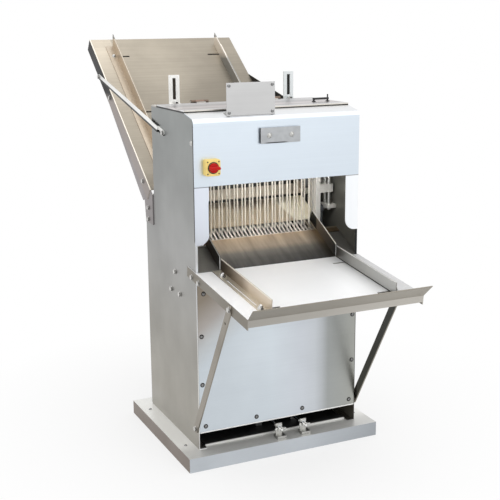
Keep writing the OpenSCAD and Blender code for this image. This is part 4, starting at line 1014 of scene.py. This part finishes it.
def switchHousing(spec):
    low, high, mid = nodeBox("switch_box")
    size = high - low
    place = laidOn((mid.x, high.y, mid.z), right, up)
    deep, split, groove, soft = size.y, spec["split"], spec["groove"], spec["soft"]
    levels = [(soft, 0.0), (0.0, soft), (0.0, split - groove), (groove, split - groove / 2),
              (groove, split + groove / 2), (0.0, split + groove)]
    levels += [(inset, deep - under) for inset, under in spec["edge"]]
    rings = [roundedBox(size.x - 2 * s, size.z - 2 * s, spec["corner"] - s, h, spec["perCorner"])
             for s, h in levels]
    turns = [atan2(p[1], p[0]) for p in rings[0]]
    for h in (deep, 0.0):
        rings.append([(spec["hole"] * cos(t), spec["hole"] * sin(t), h) for t in turns])
    case = newShape()
    joinRings(case, rings, place, loop=True)
    makePiece("switchCase", case, "yellowPlastic", "cabinet", "switch_box")
    trim = newShape()
    i, o, h = spec["collarIn"], spec["collarOut"], spec["collarHigh"]
    lathed(trim, [(i, deep), (o, deep), (o, deep + h * 0.6), (o - spec["collarSoft"], deep + h),
                  (i + soft, deep + h), (i, deep + h * 0.7)], place, 48, loop=True)
    for sx in (-1, 1):
        for sy in (-1, 1):
            spot = place @ Matrix.Translation((sx * spec["screwAt"], sy * spec["screwAt"], deep))
            lathed(trim, [(spec["screw"] * share, h) for share, h in spec["screwShape"]], spot, 16)
    makePiece("switchTrim", trim, "blackPlastic", "cabinet")


def switchHandle(spec):
    low, high, mid = nodeBox("switch_knob")
    size = high - low
    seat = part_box("switch_box")[0][1] - spec["gap"]
    place = laidOn((mid.x, seat, mid.z), right, up)
    top, base, half = seat - low.y, spec["base"], spec["gripHalf"]
    shape = newShape()
    rings = []
    levels = [(spec["soft"], 0.0), (0.0, spec["soft"])]
    for inset, h in levels + [(inset, base - under) for inset, under in spec["edge"]]:
        ring = []
        for t in fullTurn(spec["steps"]):
            r = size.z / 2 - inset - spec["lobe"] * (1 - cos(spec["lobes"] * t)) / 2
            ring.append((r * cos(t), r * sin(t), h))
        rings.append(ring)
    joinRings(shape, rings, place)
    reach = size.x / 2 - half
    ends = [(-reach, 0.0, half), (reach, 0.0, half)]
    levels = [(0.0, base - spec["sunk"])] + [(inset, top - under) for inset, under in spec["gripEdge"]]
    joinRings(shape, [linkOutline(ends, h, s, 40) for s, h in levels], place)
    lathed(shape, [(spec["spindle"], seat - high.y), (spec["spindle"], spec["sunk"])], place)
    makePiece("switchKnob", shape, "redPlastic", "switch", "switch_knob")


switchHousing(switchCase)
switchHandle(switchKnob)
print("switch made")

# wing nuts and threaded rods of the belt tensioner
wingNut = {"bore": 0.0051, "hub": 0.0085, "neck": 0.0070, "ease": 0.0005, "length": 0.010, "soft": 0.0006,
           "earRoot": (0.0075, 0.0062, 0.0030), "earTip": (0.0152, 0.0100, 0.0036), "earHalf": 0.0019}
tensionRod = {"radius": 0.005, "pitch": 0.0015, "threaded": 0.040, "heel": 0.85, "heelHigh": 0.0008,
              "nutAt": 0.005, "nut": 0.007, "nutCorner": 0.0074}
hexNut = {"flat": 0.84, "drop": 0.5}


def addHexNut(shape, corner, low, high, place):
    flat = corner * hexNut["flat"]
    rings = [hexRing(corner, low), hexRing(corner, high, hexNut["drop"], flat), circle(flat, high)]
    joinRings(shape, rings, place)


def wingNutPiece(side, spec):
    node = f"wing_nut_{side.lower()}"
    low, high, mid = nodeBox(node)
    shape, at = newShape(), (mid.x, high.y, mid.z)
    hub, neck, bore, top, soft = (spec[key] for key in ("hub", "neck", "bore", "length", "soft"))
    profile = [(hub - soft, 0.0), (hub, soft), (hub, top * 0.5), (neck + spec["ease"], top * 0.9),
               (neck, top), (bore + soft, top), (bore, top - soft), (bore, soft), (bore + soft, 0.0)]
    lathed(shape, profile, laidOn(at, right, up), 32, loop=True)
    for way in (left, right):
        ear = laidOn(at, way, front)
        linked(shape, [spec["earRoot"], spec["earTip"]], -spec["earHalf"], spec["earHalf"], soft, ear)
    makePiece(f"wingNut{side}", shape, "nutSteel", f"nut_{side.lower()}", node)


def tensionRods(spec):
    shape = newShape()
    r, pitch, root = spec["radius"], spec["pitch"], spec["radius"] * thread["root"]
    for solid in solidsOf("tension_rods"):
        low, high, mid = boxOf(solid)
        length = high.y - low.y
        place = laidOn((mid.x, high.y, mid.z), right, up)
        profile = [(r * spec["heel"], 0.0), (r, spec["heelHigh"]), (r, length - spec["threaded"])]
        for k in range(int(spec["threaded"] / pitch) - 1):
            at = length - spec["threaded"] + k * pitch
            profile += [(root, at + pitch * 0.5), (r, at + pitch)]
        lathed(shape, profile + [(root, length - pitch * 0.5), (r * thread["tip"], length)], place)
        addHexNut(shape, spec["nutCorner"], spec["nutAt"], spec["nutAt"] + spec["nut"], place)
    makePiece("tensionRodPair", shape, "nutSteel", "motor_carriage", "tension_rods")


for side in ("Left", "Right"):
    wingNutPiece(side, wingNut)
tensionRods(tensionRod)
print("belt tensioner made")

# rods from the eccentrics to the blade frames: split straps with bolted lugs, a shank and an eye
conrod = {"eccentric": 0.0318, "eye": 0.012, "pin": 0.0063, "soft": 0.0005, "web": 0.0008,
          "shank": (0.0090, 0.0065), "lugAt": 0.0020, "lug": 0.0055, "bolt": 0.0032, "boltHigh": 0.0028}


def addCollar(shape, inner, outer, thick, soft, place, steps):
    profile = [(inner + soft, 0.0), (outer - soft, 0.0), (outer, soft), (outer, thick - soft),
               (outer - soft, thick), (inner + soft, thick), (inner, thick - soft), (inner, soft)]
    lathed(shape, profile, place, steps, loop=True)


def conrodPair(kind, spec):
    node, shape = f"{kind}_conrods", newShape()
    soft, web, eye, lugAt = spec["soft"], spec["web"], spec["eye"], spec["lugAt"]
    eyeY = nodeBox(f"{kind}_frame")[2].y
    for solid in solidsOf(node):
        low, high, mid = boxOf(solid)
        thick, strap = high.x - low.x, (high.y - low.y) / 2
        big = Vector((low.x, mid.y, low.z + strap))
        small = Vector((low.x, eyeY, high.z - eye))
        addCollar(shape, spec["eccentric"], strap, thick, soft, laidOn(big, back, up), 96)
        addCollar(shape, spec["pin"], eye, thick, soft, laidOn(small, back, up), 40)
        wide, narrow = spec["shank"]
        ends = [(0.0, (strap + spec["eccentric"]) / 2 + wide, wide),
                (0.0, (small - big).length - eye - soft, narrow)]
        place = laidOn(big, (small - big).cross(right), small - big)
        linked(shape, ends, web, thick - web, soft, place)
        for way in (-1, 1):
            lug = [(way * (strap - lugAt), 0.0, spec["lug"]), (way * (strap + lugAt), 0.0, spec["lug"])]
            linked(shape, lug, web, thick - web, soft, laidOn(big, back, up))
            for side in (up, down):
                at = big + Vector((thick / 2, way * (strap + lugAt), 0))
                at += Vector(side) * (spec["lug"] - soft)
                addHexNut(shape, spec["bolt"], 0.0, spec["boltHigh"], standing(at, side))
    makePiece(f"{kind}ConrodPair", shape, "castGrey", f"{kind}_rods", node)


for kind in ("front", "rear"):
    conrodPair(kind, conrod)

# cogged drive belt, which runs between the cabinet and the motor's sliding plate
driveBelt = {"half": 0.005, "taper": 0.0012, "thick": 0.008, "cog": 0.0026, "pitch": 0.0095,
             "notch": (0.0, 0.0, 0.6, 1.0, 0.6)}


def radial(angle):
    return Vector((0, cos(angle), sin(angle)))


def beltPoint(run, arcs, lines, at):
    # the outward direction and the place of a point on the loop, at a length along it
    for (centre, radius, begin, turn), (startAt, line) in zip(arcs, lines):
        if at < radius * turn:
            out = radial(run + begin + at / radius)
            return out, centre + out * radius
        at -= radius * turn
        if at < line.length:
            return radial(run + begin + turn), startAt + line.normalized() * at
        at -= line.length
    raise ValueError("the length is beyond the loop")


def beltPiece(spec):
    low, high = nodeBox("drive_belt")[:2]
    top, foot = nodeBox("driven_pulley")[2], nodeBox("motor_pulley")[2]
    bigRadius, smallRadius = top.y - low.y, high.y - foot.y
    span = foot - top
    run = atan2(span.z, span.y)
    lean = asin((bigRadius - smallRadius) / span.length)
    arcs = [(top, bigRadius, pi / 2 - lean, pi + 2 * lean),
            (foot, smallRadius, 1.5 * pi + lean, pi - 2 * lean)]
    rims = []
    for centre, radius, begin, turn in arcs:
        rims += [centre + radial(run + a) * radius for a in (begin, begin + turn)]
    lines = [(rims[1], rims[2] - rims[1]), (rims[3], rims[0] - rims[3])]
    total = sum(arc[1] * arc[3] for arc in arcs) + sum(line.length for at, line in lines)
    notch = spec["notch"]
    steps = len(notch) * round(total / spec["pitch"])
    half, narrow = Vector((spec["half"], 0, 0)), Vector((spec["half"] - spec["taper"], 0, 0))
    rings = []
    for k in range(steps):
        out, outer = beltPoint(run, arcs, lines, total * k / steps)
        inner = outer - out * (spec["thick"] - spec["cog"] * notch[k % len(notch)])
        rings.append([inner - narrow, inner + narrow, outer + half, outer - half])
    shape = newShape()
    joinRings(shape, rings, asItIs, loop=True)
    belt = makePiece("driveBelt", shape, "beltRubber", None, "drive_belt")
    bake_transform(belt)
    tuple(foot)


beltPiece(driveBelt)
print("rods and belt made")

# rolled hems along the sheet edges, and how near to an edge a point belongs to it
hemBeads = {"guide": 0.0016, "trough": 0.0014, "panel": 0.0018, "lip": 0.0016}
hemReach = {"guide": 0.0002, "trough": 0.001, "lip": 0.002}
troughWall = {"inner": 0.184, "outer": 0.188, "rim": 0.01, "gap": 0.002}


def pointsOf(node):
    return [v.co for v in nodes[node].data.vertices]


def meanOf(points, axis):
    return sum(p[axis] for p in points) / len(points)


def rolledHem(name, lines, radius, finish, body):
    shape = newShape()
    for line in lines:
        beadAlong(shape, line, radius)
    makePiece(name, shape, finish, body)


def topLine(node, normal, sink):
    # middle line of a guide's upper rim, sunk by the bead's radius
    points = pointsOf(node)
    top = max(p.dot(normal) for p in points)
    rim = sorted((p for p in points if p.dot(normal) > top - hemReach["guide"]), key=lambda p: p.y)
    x = meanOf(rim, 0)
    run = (rim[-1] - rim[0]).normalized()
    ends = [rim[0] + run * sink - normal * sink, rim[-1] - run * sink - normal * sink]
    return [Vector((x, p.y, p.z)) for p in ends]


def slopeNormal(node):
    # the guide's own up direction, square to the line through its two clamps
    mids = sorted((boxOf(s)[2] for s in solidsOf(node)), key=lambda m: m.y)
    return Vector(right).cross((mids[1] - mids[0]).normalized())


def guideHem(kind, side):
    low, r = side.lower(), hemBeads["guide"]
    line = topLine(f"{kind}_guide_{low}", slopeNormal(f"{kind}_knobs_{low}"), r)
    finish = "hemSteel" if (kind, side) == ("tray", "Right") else "guideHemSteel"
    rolledHem(f"{kind}Hem{side}", [line], r, finish, f"{kind}_side_{low}")


def troughHems(spec):
    r, near, lines = hemBeads["trough"], hemReach["trough"], []
    for side in (-1, 1):
        wall = [p for p in pointsOf("outfeed_trough") if spec["inner"] < p.x * side < spec["outer"]]
        frontY = min(p.y for p in wall)
        edge = [p for p in wall if p.y < frontY + near]
        peak, corner = max(wall, key=lambda p: p.z), max(edge, key=lambda p: p.z)
        foot = max((p for p in edge if p.z < corner.z - spec["rim"]), key=lambda p: p.z)
        x = meanOf(wall, 0)
        lines.append([(x, peak.y - 2 * r, peak.z - 2 * r), (x, corner.y + r, corner.z - r),
                      (x, foot.y + r, foot.z + spec["gap"])])
    rolledHem("troughHems", lines, r, "hemSteel", "cabinet")


# sheets that close the gaps between the trough and the cabinet's sides, painted dark as the shade in those
# gaps
troughWing = {"inner": 0.1875, "outer": 0.2565, "length": 0.108, "thick": 0.0015, "slope": radians(27.0),
              "inset": 0.003, "rise": 0.003}


def troughWings(spec):
    shape = newShape()
    foot = Vector(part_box("outfeed_trough")[0])
    place = laidOn((0, foot.y + spec["inset"], foot.z + spec["rise"]), right, radial(spec["slope"]))
    t, far = spec["thick"], spec["length"]
    for side in (-1, 1):
        x0, x1 = sorted((side * spec["inner"], side * spec["outer"]))
        joinRings(shape, [[(x1 - s, s, h), (x1 - s, far - s, h), (x0 + s, far - s, h), (x0 + s, s, h)]
                          for s, h in softLevels(-t, 0.0, t / 3)], place)
    makePiece("troughWings", shape, "wingSheet", "cabinet")


def panelHem():
    low, high = nodeBox("front_panel")[:2]
    r = hemBeads["panel"]
    line = [(low.x + r, high.y - r, low.z + r), (high.x - r, high.y - r, low.z + r)]
    rolledHem("frontPanelHem", [line], r, "hemSteel", "cabinet")


def lipHem():
    points = pointsOf("tray")
    frontY = min(p.y for p in points)
    rim = [p for p in points if p.y < frontY + hemReach["lip"]]
    r = hemBeads["lip"]
    y, z = meanOf(rim, 1), meanOf(rim, 2)
    reach = max(p.x for p in rim) - r
    line = [(-reach, y + r, z - r), (reach, y + r, z - r)]
    # the bead takes the struts' darker finish as the painted shadow in the hem's crease
    rolledHem("trayLipHem", [line], r, "strutSteel", "cabinet")


for kind, side in guides:
    guideHem(kind, side)
troughHems(troughWall)
troughWings(troughWing)
panelHem()
lipHem()
print("hems rolled")

# cooling ribs along the motor, with none near its top and bottom; angles in degrees
motorRib = {"every": 10, "thick": 0.0022, "inner": 0.0635, "outer": 0.0685, "ends": (0.020, 0.046),
            "top": 38, "bottom": 52}


def motorRibs(spec):
    low, high = nodeBox("motor")[:2]
    shaft = nodeBox("motor_shaft")[2]
    inner, outer, h, tip = spec["inner"], spec["outer"], spec["thick"] / 2, spec["thick"] / 4
    shape = newShape()
    for angle in range(0, 360, spec["every"]):
        if abs(angle - 90) < spec["top"] or abs(angle - 270) < spec["bottom"]:
            continue
        place = laidOn((0, shaft.y, shaft.z), right, radial(radians(angle)))
        joinRings(shape, [[(x, inner, -h), (x, outer, -tip), (x, outer, tip), (x, inner, h)]
                          for x in (low.x + spec["ends"][0], high.x - spec["ends"][1])], place)
    makePiece("motorRibs", shape, "motorPaint", "motor_carriage")


# pressed louvres over the rear vents, and where the vents are on the rear panel
ventLouvre = {"height": 0.0085, "proud": 0.005, "steps": 6, "sheet": 0.001, "wider": 0.003, "lower": 0.001,
              "end": 0.006, "endShare": 0.25}
ventField = {"left": -0.02, "right": 0.14, "top": 0.25, "skin": 0.0005}


def ventSlots(field):
    # the slots' lower and upper rims, read from the rear panel's own points
    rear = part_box("rear_panel")[1][1]
    middle = [p for p in pointsOf("rear_panel")
              if field["left"] < p.x < field["right"] and p.y > rear - field["skin"]]
    levels = sorted({round(p.z, 4) for p in middle if p.z < field["top"]})
    return [p.x for p in middle], levels, rear


def addLouvre(shape, x0, x1, foot, rear, spec):
    # hood that leans out over the slot, open below
    rings = []
    end, low, sheet = spec["end"], spec["endShare"], spec["sheet"]
    for x, share in ((x0, low), (x0 + end, 1.0), (x1 - end, 1.0), (x1, low)):
        outer, inner = [], []
        for k in range(spec["steps"] + 1):
            t = pi / 2 * k / spec["steps"]
            y = rear + spec["proud"] * share * cos(t)
            z = foot + spec["height"] * sin(t)
            outer.append((x, y, z))
            inner.append((x, max(rear, y - sheet), z - sheet * sin(t)))
        rings.append(outer + inner[::-1])
    joinRings(shape, rings, asItIs)


def ventLouvres(spec):
    xs, levels, rear = ventSlots(ventField)
    shape = newShape()
    for foot in levels[::2]:
        addLouvre(shape, min(xs) - spec["wider"], max(xs) + spec["wider"], foot - spec["lower"], rear, spec)
    makePiece("ventLouvres", shape, "plainSheet", "cabinet")


motorRibs(motorRib)
ventLouvres(ventLouvre)
print("motor ribs and louvres made")
